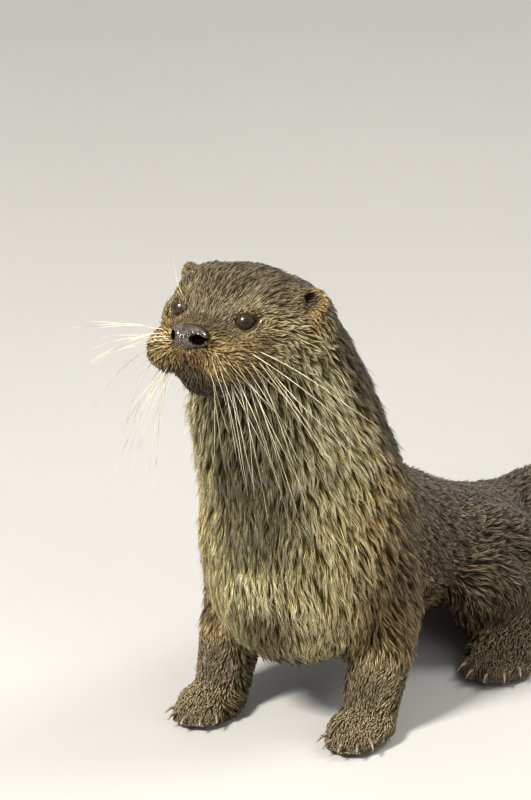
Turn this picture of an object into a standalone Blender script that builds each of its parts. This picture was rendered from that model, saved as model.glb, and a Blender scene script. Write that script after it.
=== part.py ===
"""Eurasian otter (Lutra lutra), sitting up on straight forelegs, life size.

The body is modelled whole: lofts for the spine and limbs and ellipsoids for
the masses of the head and shoulders are fused into one closed surface, its
soles and tail are made flat where they rest on the floor, and thin cuts then
part it into the pieces a person would name.

Units are metres and +Z is up. The otter faces -Y and +X is its left side.
The origin is under the middle of its bounding box, on the floor.
"""

import math

import bmesh
import bpy
from mathutils import Matrix, Vector
from mathutils.bvhtree import BVHTree

# --- Fusing and cutting ------------------------------------------------------
VOXEL = 0.0022          # cell size of the fusing remesh
SMOOTH_STEPS = 9        # passes that soften the joins between masses
BODY_TRIANGLES = 3750   # triangles kept on the fused body
GAP = 0.0003            # clearance between pieces that meet
REACH = 0.5             # half size of a cutter side that only has to clear the body

# --- Head, measured from the point midway between the ears ---------------------
HEAD_PLACE = Vector((-0.010, -0.0525, 0.303))
HEAD_TURN = math.radians(8.0)      # turned to its right, away from straight ahead
HEAD_LENGTH_AHEAD = 0.071          # ear line to the nose pad
EYE_AHEAD = 0.0404
EYE_ASIDE = 0.0230
EYE_RISE = -0.0060
EYE_RADIUS = 0.0062
EYE_BARED = 0.0013                 # how far the eyeball stands out of the lids
EYE_MOUND = 0.0108                 # radius of the brow and lids round each eye
LID_RISE = 0.0006                  # how far they rise to meet the eyeball
EYE_TURN = math.radians(34.0)      # each eye looks this far out from straight ahead
EYE_LIFT = math.radians(12.0)      # and this far up
EAR_AHEAD = -0.0025
EAR_ASIDE = 0.0462
EAR_RISE = -0.0025
EAR_RADIUS = 0.0108
EAR_THICKNESS = 0.0058
EAR_YAW = 34.0                     # degrees that the cup of the ear turns outward
EAR_ROLL = 14.0                    # degrees that the ear leans off the head
EAR_CELL = (0.0095, 0.0130, 0.0145)     # half sizes of the block that an ear is cut out with
EAR_SCOOP = (0.0052, 0.0068, 0.0078)    # radii of the hollow of an ear
NOSE_RISE = -0.0120
NOSE_RADII = (0.0080, 0.0124, 0.0066)
NOSE_PITCH = 20.0                  # degrees that the nose pad leans back

# --- Body -------------------------------------------------------------------
FORELEG_ASIDE = 0.0515
FOREPAW_PLACE = (-0.020, 0.0078)   # how far ahead and how high its toes start
HINDFOOT_ASIDE = 0.082
HINDFOOT_PLACE = (0.136, 0.0078)
TAIL_START = 0.315
TAIL_LENGTH = 0.365
TAIL_ROOT_RADIUS = 0.0265
TAIL_TIP_RADIUS = 0.006
TAIL_SWAY = 0.020                  # sideways bow of the tail
TAIL_ASIDE = 0.001
TAIL_RINGS = 24
TAIL_TAPER = 0.85                  # below 1 the tail keeps its thickness for longer

# --- Feet -------------------------------------------------------------------
TOES = 5
FORE_TOE_REACH = 0.034
HIND_TOE_REACH = 0.046
TOE_SPREAD = math.radians(17.0)    # angle from one toe to the next
HIND_TOE_SPREAD = TOE_SPREAD * 0.86
FORE_TOE_RADIUS = 0.0055
HIND_TOE_RADIUS = 0.0060
CLAW_LENGTH = 0.0085
CLAW_RADIUS = 0.0014
CLAW_TIP_RADIUS = 0.00035
CLAW_DIP = -0.42                   # downward slope of a claw

# --- Whiskers: the longest ones, which reach past the head's own outline --------
WHISKER_RADIUS = 0.0003
WHISKER_POINTS = 7
WHISKER_DROOP = 0.20               # sag of a whisker tip, as a share of its length
WHISKERS = {                       # length, degrees ahead of straight out, degrees down
    "upper": (0.078, 24.0, -2.0),
    "middle": (0.092, 14.0, 16.0),
    "lower": (0.086, 2.0, 38.0),
}

SIDES = {"left": 1.0, "right": -1.0}


# --- Materials ----------------------------------------------------------------
def material(name, colour, roughness):
    """Return a Principled material with one colour and roughness."""
    made = bpy.data.materials.new(name)
    made.use_nodes = True
    shader = made.node_tree.nodes["Principled BSDF"]
    shader.inputs["Base Color"].default_value = (*colour, 1.0)
    shader.inputs["Roughness"].default_value = roughness
    shader.inputs["Metallic"].default_value = 0.0
    made.diffuse_color = (*colour, 1.0)
    return made


# --- Scene and mesh helpers -----------------------------------------------------
def clear_scene():
    """Remove every object that the startup file holds."""
    for thing in list(bpy.data.objects):
        bpy.data.objects.remove(thing, do_unlink=True)


def new_object(name, mesh, collection):
    """Link a mesh as a named object into a collection."""
    thing = bpy.data.objects.new(name, mesh)
    collection.objects.link(thing)
    return thing


def evaluated_copy(thing):
    """Return the object's mesh as its modifiers leave it."""
    graph = bpy.context.evaluated_depsgraph_get()
    return bpy.data.meshes.new_from_object(thing.evaluated_get(graph))


def settle(thing):
    """Bake an object's modifiers into its mesh."""
    mesh = evaluated_copy(thing)
    thing.modifiers.clear()
    thing.data = mesh


def boolean(thing, cutter, operation):
    """Cut, join or intersect an object with a cutter, and bake the result."""
    step = thing.modifiers.new("cut", "BOOLEAN")
    step.operation = operation
    step.object = cutter
    step.solver = "EXACT"
    settle(thing)


def keep_largest(thing):
    """Remove the crumbs that a cut leaves beside the main body of a piece."""
    cage = bmesh.new()
    cage.from_mesh(thing.data)
    waiting = set(cage.verts)
    islands = []
    while waiting:
        front = [waiting.pop()]
        island = list(front)
        while front:
            for edge in front.pop().link_edges:
                for vertex in edge.verts:
                    if vertex in waiting:
                        waiting.remove(vertex)
                        front.append(vertex)
                        island.append(vertex)
        islands.append(island)
    islands.sort(key=len)
    crumbs = [vertex for island in islands[:-1] for vertex in island]
    bmesh.ops.delete(cage, geom=crumbs, context="VERTS")
    cage.to_mesh(thing.data)
    cage.free()


def drop(thing):
    """Remove a helper object."""
    bpy.data.objects.remove(thing, do_unlink=True)


class Moulding:
    """A growing mesh of overlapping closed masses, fused later."""

    def __init__(self):
        self.cage = bmesh.new()

    def ellipsoid(self, centre, radii, frame=None, segments=24):
        """Add an ellipsoid; frame holds the directions of its three radii."""
        turn = frame if frame else Matrix.Identity(3)
        place = Matrix.Translation(centre) @ turn.to_4x4() @ Matrix.Diagonal((*radii, 1.0))
        bmesh.ops.create_uvsphere(
            self.cage, u_segments=segments, v_segments=segments // 2, radius=1.0, matrix=place)

    def loft(self, stations, side=Vector((1.0, 0.0, 0.0)), segments=24):
        """Add a tube through stations of (centre, half width, half depth)."""
        rings = []
        for index, (centre, half_width, half_depth) in enumerate(stations):
            before = stations[max(index - 1, 0)][0]
            after = stations[min(index + 1, len(stations) - 1)][0]
            along = (after - before).normalized()
            across = (side - along * side.dot(along)).normalized()
            deep = along.cross(across)
            ring = []
            for step in range(segments):
                angle = 2.0 * math.pi * step / segments
                offset = across * math.cos(angle) * half_width + deep * math.sin(angle) * half_depth
                ring.append(self.cage.verts.new(centre + offset))
            rings.append(ring)
        for first, second in zip(rings, rings[1:]):
            for step in range(segments):
                after = (step + 1) % segments
                self.cage.faces.new((first[step], first[after], second[after], second[step]))
        self.cage.faces.new(list(reversed(rings[0])))
        self.cage.faces.new(rings[-1])

    def mesh(self, name):
        """Return the masses as one mesh and free the cage."""
        bmesh.ops.recalc_face_normals(self.cage, faces=self.cage.faces)
        made = bpy.data.meshes.new(name)
        self.cage.to_mesh(made)
        self.cage.free()
        return made


def smooth_stations(stations, steps=4):
    """Fill in stations between the given ones along a Catmull-Rom curve."""
    filled = []
    last = len(stations) - 1
    for index in range(last):
        around = [stations[min(max(index + shift, 0), last)] for shift in (-1, 0, 1, 2)]
        for step in range(steps):
            part = step / steps
            weights = (
                (-part + 2 * part ** 2 - part ** 3) / 2,
                (2 - 5 * part ** 2 + 3 * part ** 3) / 2,
                (part + 4 * part ** 2 - 3 * part ** 3) / 2,
                (-part ** 2 + part ** 3) / 2,
            )
            centre = sum((w * near[0] for w, near in zip(weights, around)), Vector())
            half_width = sum(w * near[1] for w, near in zip(weights, around))
            half_depth = sum(w * near[2] for w, near in zip(weights, around))
            filled.append((centre, half_width, half_depth))
    filled.append(stations[-1])
    return filled


# --- The head's own frame -----------------------------------------------------
HEAD_AHEAD = Vector((-math.sin(HEAD_TURN), -math.cos(HEAD_TURN), 0.0))
HEAD_LEFT = Vector((math.cos(HEAD_TURN), -math.sin(HEAD_TURN), 0.0))
HEAD_FRAME = Matrix((HEAD_AHEAD, HEAD_LEFT, Vector((0.0, 0.0, 1.0)))).transposed()


def head_point(ahead, left, rise):
    """Return the place of a point given in the head's own frame."""
    return HEAD_PLACE + HEAD_FRAME @ Vector((ahead, left, rise))


def tilted(yaw, pitch=0.0, roll=0.0):
    """Return the head frame turned by yaw, pitch and roll in degrees."""
    turn = (Matrix.Rotation(math.radians(yaw), 3, "Z")
            @ Matrix.Rotation(math.radians(pitch), 3, "Y")
            @ Matrix.Rotation(math.radians(roll), 3, "X"))
    return HEAD_FRAME @ turn


def shape_head(form):
    """Add the masses of the skull, cheeks, muzzle, jaw and ears."""
    def mass(place, radii, yaw=0.0, pitch=0.0, roll=0.0):
        form.ellipsoid(head_point(*place), radii, tilted(yaw, pitch, roll))

    mass((0.006, 0.0, -0.0110), (0.039, 0.0420, 0.0272))
    mass((-0.004, 0.0, -0.022), (0.052, 0.046, 0.0280))
    mass((0.020, 0.0, -0.0055), (0.030, 0.028, 0.0170), pitch=12.0)
    mass((0.0455, 0.0, -0.0190), (0.0290, 0.0210, 0.0160), pitch=12.0)
    mass((0.0595, 0.0, -0.0165), (0.0150, 0.0150, 0.0105), pitch=14.0)
    mass((0.041, 0.0, -0.0430), (0.0255, 0.0195, 0.0165), pitch=-6.0)
    mass((0.004, 0.0, -0.0400), (0.0420, 0.0330, 0.0240), pitch=8.0)
    for side in SIDES.values():
        mass((-0.006, side * 0.0260, -0.0245), (0.041, 0.0275, 0.0275), yaw=side * 6.0)
        mass((0.009, side * 0.0215, -0.0070), (0.029, 0.0220, 0.0215))
        mass((0.021, side * 0.0170, -0.0100), (0.024, 0.0155, 0.0150), yaw=side * -12.0)
        mass((0.0485, side * 0.0205, -0.0300), (0.0230, 0.0212, 0.0163), yaw=side * -18.0)
        mass((0.028, side * 0.0240, -0.0290), (0.027, 0.0195, 0.0205), yaw=side * -12.0)
        mass((0.023, side * 0.0285, -0.0155), (0.026, 0.0175, 0.0145), yaw=side * -9.0)
        eye = head_point(EYE_AHEAD, side * EYE_ASIDE, EYE_RISE)
        sunk = EYE_MOUND - EYE_RADIUS + EYE_BARED - LID_RISE
        form.ellipsoid(eye - eye_direction(side) * sunk, (EYE_MOUND,) * 3)
        mass((EAR_AHEAD, side * EAR_ASIDE, EAR_RISE),
             (EAR_THICKNESS, EAR_RADIUS - 0.0007, EAR_RADIUS + 0.0008),
             yaw=side * EAR_YAW, roll=side * EAR_ROLL)


def eye_direction(side):
    """Return the way that one eye looks."""
    level = math.cos(EYE_LIFT)
    ahead = level * math.cos(EYE_TURN)
    left = side * level * math.sin(EYE_TURN)
    return HEAD_FRAME @ Vector((ahead, left, math.sin(EYE_LIFT)))


def shape_spine(form):
    """Add the neck, trunk and tail as one tube, and the chest's keel."""
    neck_to_rump = [
        (Vector((-0.010, -0.041, 0.290)), 0.040, 0.036),
        (Vector((-0.008, -0.034, 0.262)), 0.051, 0.047),
        (Vector((-0.004, -0.020, 0.215)), 0.060, 0.059),
        (Vector((0.000, -0.003, 0.170)), 0.064, 0.064),
        (Vector((0.000, 0.026, 0.128)), 0.066, 0.062),
        (Vector((0.000, 0.075, 0.097)), 0.063, 0.056),
        (Vector((0.000, 0.130, 0.075)), 0.061, 0.050),
        (Vector((0.000, 0.185, 0.055)), 0.061, 0.043),
        (Vector((0.000, 0.240, 0.041)), 0.051, 0.035),
        (Vector((0.000, 0.285, 0.031)), 0.036, 0.029),
        (Vector((TAIL_ASIDE, TAIL_START, 0.0262)), TAIL_ROOT_RADIUS, TAIL_ROOT_RADIUS),
    ]
    form.loft(smooth_stations(neck_to_rump))
    tail = []
    for step in range(TAIL_RINGS + 1):
        part = step / TAIL_RINGS
        radius = TAIL_TIP_RADIUS + (TAIL_ROOT_RADIUS - TAIL_TIP_RADIUS) * (1.0 - part) ** TAIL_TAPER
        sway = TAIL_SWAY * math.sin(math.pi * part * 0.75)
        back = TAIL_START - 0.01 + TAIL_LENGTH * part
        centre = Vector((TAIL_ASIDE + sway, back, radius - 0.0006))
        tail.append((centre, radius * 1.06, radius))
    form.loft(tail)
    breast = [
        (Vector((-0.002, -0.014, 0.200)), 0.056, 0.054),
        (Vector((0.000, -0.007, 0.160)), 0.0625, 0.0600),
        (Vector((0.000, -0.002, 0.120)), 0.0645, 0.0620),
        (Vector((0.000, 0.004, 0.085)), 0.0600, 0.0570),
        (Vector((0.000, 0.012, 0.061)), 0.0440, 0.0440),
        (Vector((0.000, 0.018, 0.046)), 0.0200, 0.0220),
    ]
    form.loft(smooth_stations(breast))


def shape_foreleg(form, side):
    """Add one shoulder, foreleg and forepaw."""
    form.ellipsoid(Vector((side * 0.041, 0.012, 0.116)), (0.028, 0.040, 0.056))
    leg = [
        (Vector((side * 0.034, 0.010, 0.142)), 0.020, 0.026),
        (Vector((side * 0.0445, 0.015, 0.108)), 0.0265, 0.0325),
        (Vector((side * 0.0495, 0.019, 0.076)), 0.0245, 0.028),
        (Vector((side * 0.0505, 0.008, 0.045)), 0.0215, 0.0225),
        (Vector((side * 0.051, -0.002, 0.022)), 0.0195, 0.0180),
        (Vector((side * 0.051, -0.006, 0.010)), 0.0185, 0.0165),
    ]
    form.loft(smooth_stations(leg))
    form.ellipsoid(Vector((side * FORELEG_ASIDE, FOREPAW_PLACE[0], 0.0085)), (0.0235, 0.026, 0.0115))


def toe_lines(root, heading, reach, spread):
    """Yield (start, tip) of each toe, fanned about a heading in the floor plane."""
    for index in range(TOES):
        step = index - (TOES - 1) / 2
        angle = heading + step * spread
        along = Vector((math.sin(angle), -math.cos(angle), 0.0))
        length = reach * (1.0 - 0.055 * step ** 2)
        yield root + along * length * 0.25, root + along * length


def foot_layout(foot, side):
    """Return the root, heading, toe reach and toe spread of one foot."""
    if foot == "forepaw":
        root = Vector((side * FORELEG_ASIDE, *FOREPAW_PLACE))
        return root, side * math.radians(4.0), FORE_TOE_REACH, TOE_SPREAD
    root = Vector((side * HINDFOOT_ASIDE, *HINDFOOT_PLACE))
    return root, side * math.radians(10.0), HIND_TOE_REACH, HIND_TOE_SPREAD


def shape_toes(form, foot, side):
    """Add the toes of one foot and the web between them."""
    root, heading, reach, spread = foot_layout(foot, side)
    thick = FORE_TOE_RADIUS if foot == "forepaw" else HIND_TOE_RADIUS
    for start, tip in toe_lines(root, heading, reach, spread):
        middle = start.lerp(tip, 0.6)
        knuckle = middle + Vector((0.0, 0.0, 0.0022))
        end = Vector((tip.x, tip.y, thick * 0.82))
        form.loft(smooth_stations([
            (start + Vector((0.0, 0.0, 0.003)), thick, thick),
            (knuckle, thick, thick * 0.95),
            (end, thick * 0.84, thick * 0.80),
            (end + (end - knuckle).normalized() * thick * 0.5, thick * 0.45, thick * 0.42),
        ], steps=2), segments=12)
    web = root + Vector((math.sin(heading), -math.cos(heading), 0.0)) * reach * 0.42
    turn = Matrix.Rotation(heading, 3, "Z")
    form.ellipsoid(web - Vector((0.0, 0.0, 0.0035)), (reach * 0.60, reach * 0.42, 0.0050), turn)


def shape_hindleg(form, side):
    """Add one thigh, shank and hind foot, folded as the otter sits."""
    thigh = Matrix.Rotation(math.radians(-14.0), 3, "X")
    thigh @= Matrix.Rotation(side * math.radians(-8.0), 3, "Z")
    form.ellipsoid(Vector((side * 0.046, 0.192, 0.045)), (0.034, 0.060, 0.038), thigh)
    form.ellipsoid(Vector((side * 0.060, 0.158, 0.042)), (0.023, 0.040, 0.032))
    shank = [
        (Vector((side * 0.068, 0.150, 0.042)), 0.020, 0.024),
        (Vector((side * 0.072, 0.176, 0.032)), 0.017, 0.020),
        (Vector((side * 0.074, 0.202, 0.022)), 0.0145, 0.017),
        (Vector((side * 0.074, 0.212, 0.012)), 0.013, 0.013),
    ]
    form.loft(smooth_stations(shank))
    foot = [
        (Vector((side * 0.0735, 0.216, 0.011)), 0.0120, 0.0120),
        (Vector((side * 0.0745, 0.196, 0.012)), 0.0150, 0.0130),
        (Vector((side * 0.0775, 0.166, 0.011)), 0.0190, 0.0125),
        (Vector((side * 0.0810, 0.138, 0.010)), 0.0235, 0.0115),
        (Vector((side * 0.0835, 0.122, 0.009)), 0.0240, 0.0095),
    ]
    form.loft(smooth_stations(foot))


def fused_body(collection):
    """Return the whole body as one closed faceted object with flat soles."""
    form = Moulding()
    shape_head(form)
    shape_spine(form)
    for side in SIDES.values():
        shape_foreleg(form, side)
        shape_hindleg(form, side)
        for foot in ("forepaw", "hindfoot"):
            shape_toes(form, foot, side)
    body = new_object("body", form.mesh("body"), collection)
    remesh = body.modifiers.new("fuse", "REMESH")
    remesh.mode = "VOXEL"
    remesh.voxel_size = VOXEL
    remesh.adaptivity = 0.0
    settle(body)
    soften = body.modifiers.new("soften", "SMOOTH")
    soften.factor = 0.5
    soften.iterations = SMOOTH_STEPS
    settle(body)
    body.modifiers.new("triangles", "TRIANGULATE")
    settle(body)
    thin = body.modifiers.new("thin", "DECIMATE")
    thin.ratio = BODY_TRIANGLES / len(body.data.polygons)
    settle(body)
    level_soles(body)
    return body


def level_soles(body):
    """Cut the body off flat at the floor."""
    cage = bmesh.new()
    cage.from_mesh(body.data)
    everything = cage.verts[:] + cage.edges[:] + cage.faces[:]
    cut = bmesh.ops.bisect_plane(cage, geom=everything, plane_co=(0.0, 0.0, 0.0),
                                 plane_no=(0.0, 0.0, -1.0), clear_outer=True, dist=1e-6)
    rim = [piece for piece in cut["geom_cut"] if isinstance(piece, bmesh.types.BMEdge)]
    bmesh.ops.holes_fill(cage, edges=rim, sides=0)
    bmesh.ops.triangulate(cage, faces=cage.faces[:])
    cage.to_mesh(body.data)
    cage.free()


# --- Cells that part the body ---------------------------------------------------
def block(name, centre, half, turn, collection, grow=0.0):
    """Return a box cutter with half sizes, turned about its centre, grown all round."""
    cage = bmesh.new()
    bmesh.ops.create_cube(cage, size=2.0)
    mesh = bpy.data.meshes.new(name)
    cage.to_mesh(mesh)
    cage.free()
    sizes = [value + grow for value in half]
    mesh.transform(Matrix.Translation(centre) @ turn.to_4x4() @ Matrix.Diagonal((*sizes, 1.0)))
    made = new_object(name, mesh, collection)
    made.hide_render = True
    made.display_type = "WIRE"
    return made


def ball(name, centre, radii, frame, collection, grow=0.0, segments=20):
    """Return an ellipsoid object, grown all round."""
    form = Moulding()
    form.ellipsoid(centre, [value + grow for value in radii], frame, segments)
    return new_object(name, form.mesh(name), collection)


def part_off(body, name, cell, parts, cutters):
    """Cut a named piece off the body inside a cell, with half the gap on each side."""
    centre, half, turn = cell
    inner = block(name + "_keep", centre, half, turn, cutters, grow=-GAP / 2)
    outer = block(name + "_clear", centre, half, turn, cutters, grow=GAP / 2)
    piece = new_object(name, body.data.copy(), parts)
    boolean(piece, inner, "INTERSECT")
    keep_largest(piece)
    boolean(body, outer, "DIFFERENCE")
    if body.data.vertices:
        keep_largest(body)
    drop(inner)
    drop(outer)
    return piece


def beyond(place, normal):
    """Return a cell that holds everything on the far side of a plane."""
    normal = Vector(normal).normalized()
    turn = normal.to_track_quat("Z", "Y").to_matrix()
    return Vector(place) + normal * REACH, (REACH, REACH, REACH), turn


def box_cell(low, high):
    """Return a cell between two opposite corners."""
    low, high = Vector(low), Vector(high)
    return (low + high) / 2, tuple((high - low) / 2), Matrix.Identity(3)


def mirrored_box(side, low, high):
    """Return a box cell given for the left side, moved to the asked side."""
    if side > 0:
        return box_cell(low, high)
    return box_cell((-high[0], low[1], low[2]), (-low[0], high[1], high[2]))


def part_body(body, parts, cutters):
    """Part the whole body into its named lengths and limbs."""
    upright = Matrix.Identity(3)
    made = {}
    for name, side in SIDES.items():
        ear_frame = tilted(side * EAR_YAW, 0.0, side * EAR_ROLL)
        around = head_point(EAR_AHEAD - 0.001, side * (EAR_ASIDE + 0.0075), EAR_RISE + 0.004)
        ear = part_off(body, "ear_" + name, (around, EAR_CELL, ear_frame), parts, cutters)
        hollow = head_point(EAR_AHEAD + 0.0065, side * (EAR_ASIDE + 0.0020), EAR_RISE + 0.0010)
        scoop = ball("ear_scoop", hollow, EAR_SCOOP, ear_frame, cutters, segments=12)
        made["ear_" + name] = set_in(ear, ear, scoop)
        paw = mirrored_box(side, (0.012, -0.10, -0.01), (0.12, 0.050, 0.026))
        made["forepaw_" + name] = part_off(body, "forepaw_" + name, paw, parts, cutters)
        leg = mirrored_box(side, (0.0315, -0.06, -0.01), (0.12, 0.062, 0.100))
        made["foreleg_" + name] = part_off(body, "foreleg_" + name, leg, parts, cutters)
        foot = mirrored_box(side, (0.056, 0.070, -0.01), (0.14, 0.235, 0.0205))
        made["hindfoot_" + name] = part_off(body, "hindfoot_" + name, foot, parts, cutters)
        thigh = mirrored_box(side, (0.040, 0.112, -0.01), (0.14, 0.255, 0.088))
        made["hindleg_" + name] = part_off(body, "hindleg_" + name, thigh, parts, cutters)
    lengths = {
        "head": beyond((-0.01, -0.030, 0.262), (0.0, -0.50, 0.866)),
        "neck": beyond((0.0, 0.0, 0.178), (0.0, -0.30, 0.954)),
        "tail_tip": beyond((0.0, TAIL_START + TAIL_LENGTH * 0.66, 0.0), (0.0, 1.0, 0.0)),
        "tail_middle": beyond((0.0, TAIL_START + TAIL_LENGTH * 0.33, 0.0), (0.0, 1.0, 0.0)),
        "tail_base": beyond((0.0, TAIL_START - 0.012, 0.0), (0.0, 1.0, 0.0)),
        "rump": beyond((0.0, 0.190, 0.0), (0.0, 1.0, 0.12)),
        "belly": beyond((0.0, 0.085, 0.0), (0.0, 1.0, 0.30)),
        "chest": (Vector(), (REACH * 2, REACH * 2, REACH * 2), upright),
    }
    for name, cell in lengths.items():
        made[name] = part_off(body, name, cell, parts, cutters)
    drop(body)
    return made


# --- Eyes, nose, claws and whiskers -----------------------------------------------
def set_in(piece, host, cutter):
    """Clear a host piece round a piece that is set into it."""
    boolean(host, cutter, "DIFFERENCE")
    keep_largest(host)
    drop(cutter)
    return piece


def make_eyes(head, parts, cutters):
    """Set the two eyeballs into the head."""
    made = {}
    for name, side in SIDES.items():
        place = head_point(EYE_AHEAD, side * EYE_ASIDE, EYE_RISE)
        radii = (EYE_RADIUS,) * 3
        cutter = ball("socket", place, radii, None, cutters, grow=GAP, segments=14)
        eyeball = ball("eye_" + name, place, radii, None, parts, segments=14)
        made["eye_" + name] = set_in(eyeball, head, cutter)
    return made


def make_nose(head, parts, cutters):
    """Set the nose pad into the front of the muzzle."""
    place = head_point(HEAD_LENGTH_AHEAD - 0.0020, 0.0, NOSE_RISE)
    frame = tilted(0.0, NOSE_PITCH)
    cutter = ball("nose_seat", place, NOSE_RADII, frame, cutters, grow=GAP, segments=16)
    pad = ball("nose_pad", place, NOSE_RADII, frame, parts, segments=16)
    return {"nose_pad": set_in(pad, head, cutter)}


def claw_mesh(name, root, along, grow=0.0):
    """Return a small cone that points along a direction and dips at its tip."""
    cage = bmesh.new()
    length = CLAW_LENGTH + grow
    turn = along.to_track_quat("Z", "Y").to_matrix().to_4x4()
    bmesh.ops.create_cone(cage, cap_ends=True, segments=6, radius1=CLAW_RADIUS + grow,
                          radius2=CLAW_TIP_RADIUS + grow, depth=length,
                          matrix=Matrix.Translation(root + along * length / 2) @ turn)
    mesh = bpy.data.meshes.new(name)
    cage.to_mesh(mesh)
    cage.free()
    return mesh


def make_claws(pieces, parts, cutters):
    """Set a claw into the tip of each toe."""
    made = {}
    for foot in ("forepaw", "hindfoot"):
        for name, side in SIDES.items():
            host = pieces[foot + "_" + name]
            root, heading, reach, spread = foot_layout(foot, side)
            for number, (start, tip) in enumerate(toe_lines(root, heading, reach, spread), 1):
                label = f"{foot}_{name}_claw_{number}"
                along = (tip - start).normalized() + Vector((0.0, 0.0, CLAW_DIP))
                along.normalize()
                seat = tip + Vector((0.0, 0.0, 0.0015)) - along * 0.0005
                claw = new_object(label, claw_mesh(label, seat, along), parts)
                shape = claw_mesh("claw_seat", seat - along * GAP, along, GAP)
                cutter = new_object("claw_seat", shape, cutters)
                made[label] = set_in(claw, host, cutter)
    return made


def make_whiskers(head, parts):
    """Grow the longest whiskers from the pads beside the nose."""
    made = {}
    skin = BVHTree.FromObject(head, bpy.context.evaluated_depsgraph_get())
    for name, side in SIDES.items():
        for label, (length, ahead, down) in WHISKERS.items():
            out = Vector((math.sin(math.radians(ahead)), side * math.cos(math.radians(ahead)), 0.0))
            out *= math.cos(math.radians(down))
            out.z = -math.sin(math.radians(down))
            out = (HEAD_FRAME @ out).normalized()
            inside = head_point(0.046, side * 0.012, -0.030)
            hit = skin.ray_cast(inside, out)[0]
            start = hit + out * 2.0 * GAP
            title = f"whisker_{name}_{label}"
            route = bpy.data.curves.new(title, "CURVE")
            route.dimensions = "3D"
            route.bevel_depth = WHISKER_RADIUS
            route.bevel_resolution = 0
            route.use_fill_caps = True
            spline = route.splines.new("POLY")
            spline.points.add(WHISKER_POINTS - 1)
            for step, point in enumerate(spline.points):
                part = step / (WHISKER_POINTS - 1)
                droop = Vector((0.0, 0.0, -WHISKER_DROOP * length * part ** 2))
                point.co = (*(start + out * length * part + droop), 1.0)
                point.radius = 1.0 - 0.15 * part
            made[title] = new_object(title, route, parts)
    return made


# --- Assembly -----------------------------------------------------------------
def dress(pieces):
    """Give each piece a material of its own."""
    coat = {
        "head": (0.115, 0.082, 0.055), "neck": (0.300, 0.255, 0.165), "chest": (0.290, 0.230, 0.150),
        "belly": (0.175, 0.125, 0.080), "rump": (0.105, 0.072, 0.047), "tail": (0.090, 0.062, 0.042),
        "fore": (0.165, 0.110, 0.068), "hind": (0.120, 0.082, 0.052), "ear": (0.230, 0.135, 0.070),
        "eye": (0.012, 0.008, 0.006), "nose": (0.028, 0.020, 0.022), "whisker": (0.720, 0.660, 0.520),
    }
    gloss = {"eye": 0.08, "nose": 0.35, "whisker": 0.45}
    for name, piece in pieces.items():
        kind = "claw" if "claw" in name else next(key for key in coat if name.startswith(key))
        colour = coat.get(kind, (0.085, 0.062, 0.045))
        piece.data.materials.clear()
        piece.data.materials.append(material(name, colour, gloss.get(kind, 0.85)))


def seat_on_origin(pieces):
    """Move everything so that the origin is under the middle of the whole otter."""
    corners = []
    for piece in pieces.values():
        mesh = evaluated_copy(piece)
        corners.extend(vertex.co.copy() for vertex in mesh.vertices)
        bpy.data.meshes.remove(mesh)
    low = Vector([min(corner[axis] for corner in corners) for axis in range(3)])
    high = Vector([max(corner[axis] for corner in corners) for axis in range(3)])
    shift = Matrix.Translation((-(low.x + high.x) / 2, -(low.y + high.y) / 2, -low.z))
    for piece in pieces.values():
        piece.data.transform(shift)
    print("origin moved by", tuple(round(value, 5) for value in shift.translation),
          "size", tuple(round(value, 4) for value in (high - low)))


def main():
    """Build the otter."""
    clear_scene()
    parts = bpy.data.collections.new("eurasian_otter")
    cutters = bpy.data.collections.new("cutters")
    for collection in (parts, cutters):
        bpy.context.scene.collection.children.link(collection)
    pieces = part_body(fused_body(parts), parts, cutters)
    pieces.update(make_eyes(pieces["head"], parts, cutters))
    pieces.update(make_nose(pieces["head"], parts, cutters))
    pieces.update(make_claws(pieces, parts, cutters))
    pieces.update(make_whiskers(pieces["head"], parts))
    dress(pieces)
    seat_on_origin(pieces)


main()
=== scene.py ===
"""Looks of a still, life-size Eurasian otter that sits up on its forelegs.

One skin is drawn over the solids of flesh and lies inside them by the depth
of the coat. The coat itself is solid tufts, laid over the skin along the way
the hair grows and drawn together into damp pointed locks. The eyes with their
lids, the nose pad, the whiskers and the claws are pieces of their own.

Units are metres and +Z is up. The otter faces -Y and +X is its left side.
"""

import logging
import math
from dataclasses import dataclass, field
from enum import Enum
from typing import Iterator, Sequence

import bpy
import numpy as np
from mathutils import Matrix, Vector, kdtree
from mathutils.bvhtree import BVHTree


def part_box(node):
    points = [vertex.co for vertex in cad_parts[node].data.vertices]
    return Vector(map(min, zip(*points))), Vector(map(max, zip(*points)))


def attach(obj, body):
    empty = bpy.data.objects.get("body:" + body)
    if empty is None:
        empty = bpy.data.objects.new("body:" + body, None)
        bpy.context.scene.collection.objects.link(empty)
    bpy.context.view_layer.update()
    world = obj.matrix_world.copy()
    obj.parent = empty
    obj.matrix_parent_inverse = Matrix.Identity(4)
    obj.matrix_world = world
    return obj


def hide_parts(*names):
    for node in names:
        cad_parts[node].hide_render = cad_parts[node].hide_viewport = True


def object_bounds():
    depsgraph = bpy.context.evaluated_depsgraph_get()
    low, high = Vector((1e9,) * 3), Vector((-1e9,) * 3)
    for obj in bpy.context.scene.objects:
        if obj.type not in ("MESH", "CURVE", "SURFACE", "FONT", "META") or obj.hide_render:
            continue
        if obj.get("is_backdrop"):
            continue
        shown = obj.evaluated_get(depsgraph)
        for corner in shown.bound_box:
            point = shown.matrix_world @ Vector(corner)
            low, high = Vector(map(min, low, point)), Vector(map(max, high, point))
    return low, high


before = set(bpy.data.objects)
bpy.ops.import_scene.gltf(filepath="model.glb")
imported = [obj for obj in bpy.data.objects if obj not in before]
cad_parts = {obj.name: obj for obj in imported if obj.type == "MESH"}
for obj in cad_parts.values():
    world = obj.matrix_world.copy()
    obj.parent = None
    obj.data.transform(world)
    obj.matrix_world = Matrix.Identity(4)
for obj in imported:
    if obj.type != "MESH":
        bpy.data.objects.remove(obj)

LOG = logging.getLogger("otter")
BODY = "root"
MM = 0.001
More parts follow.
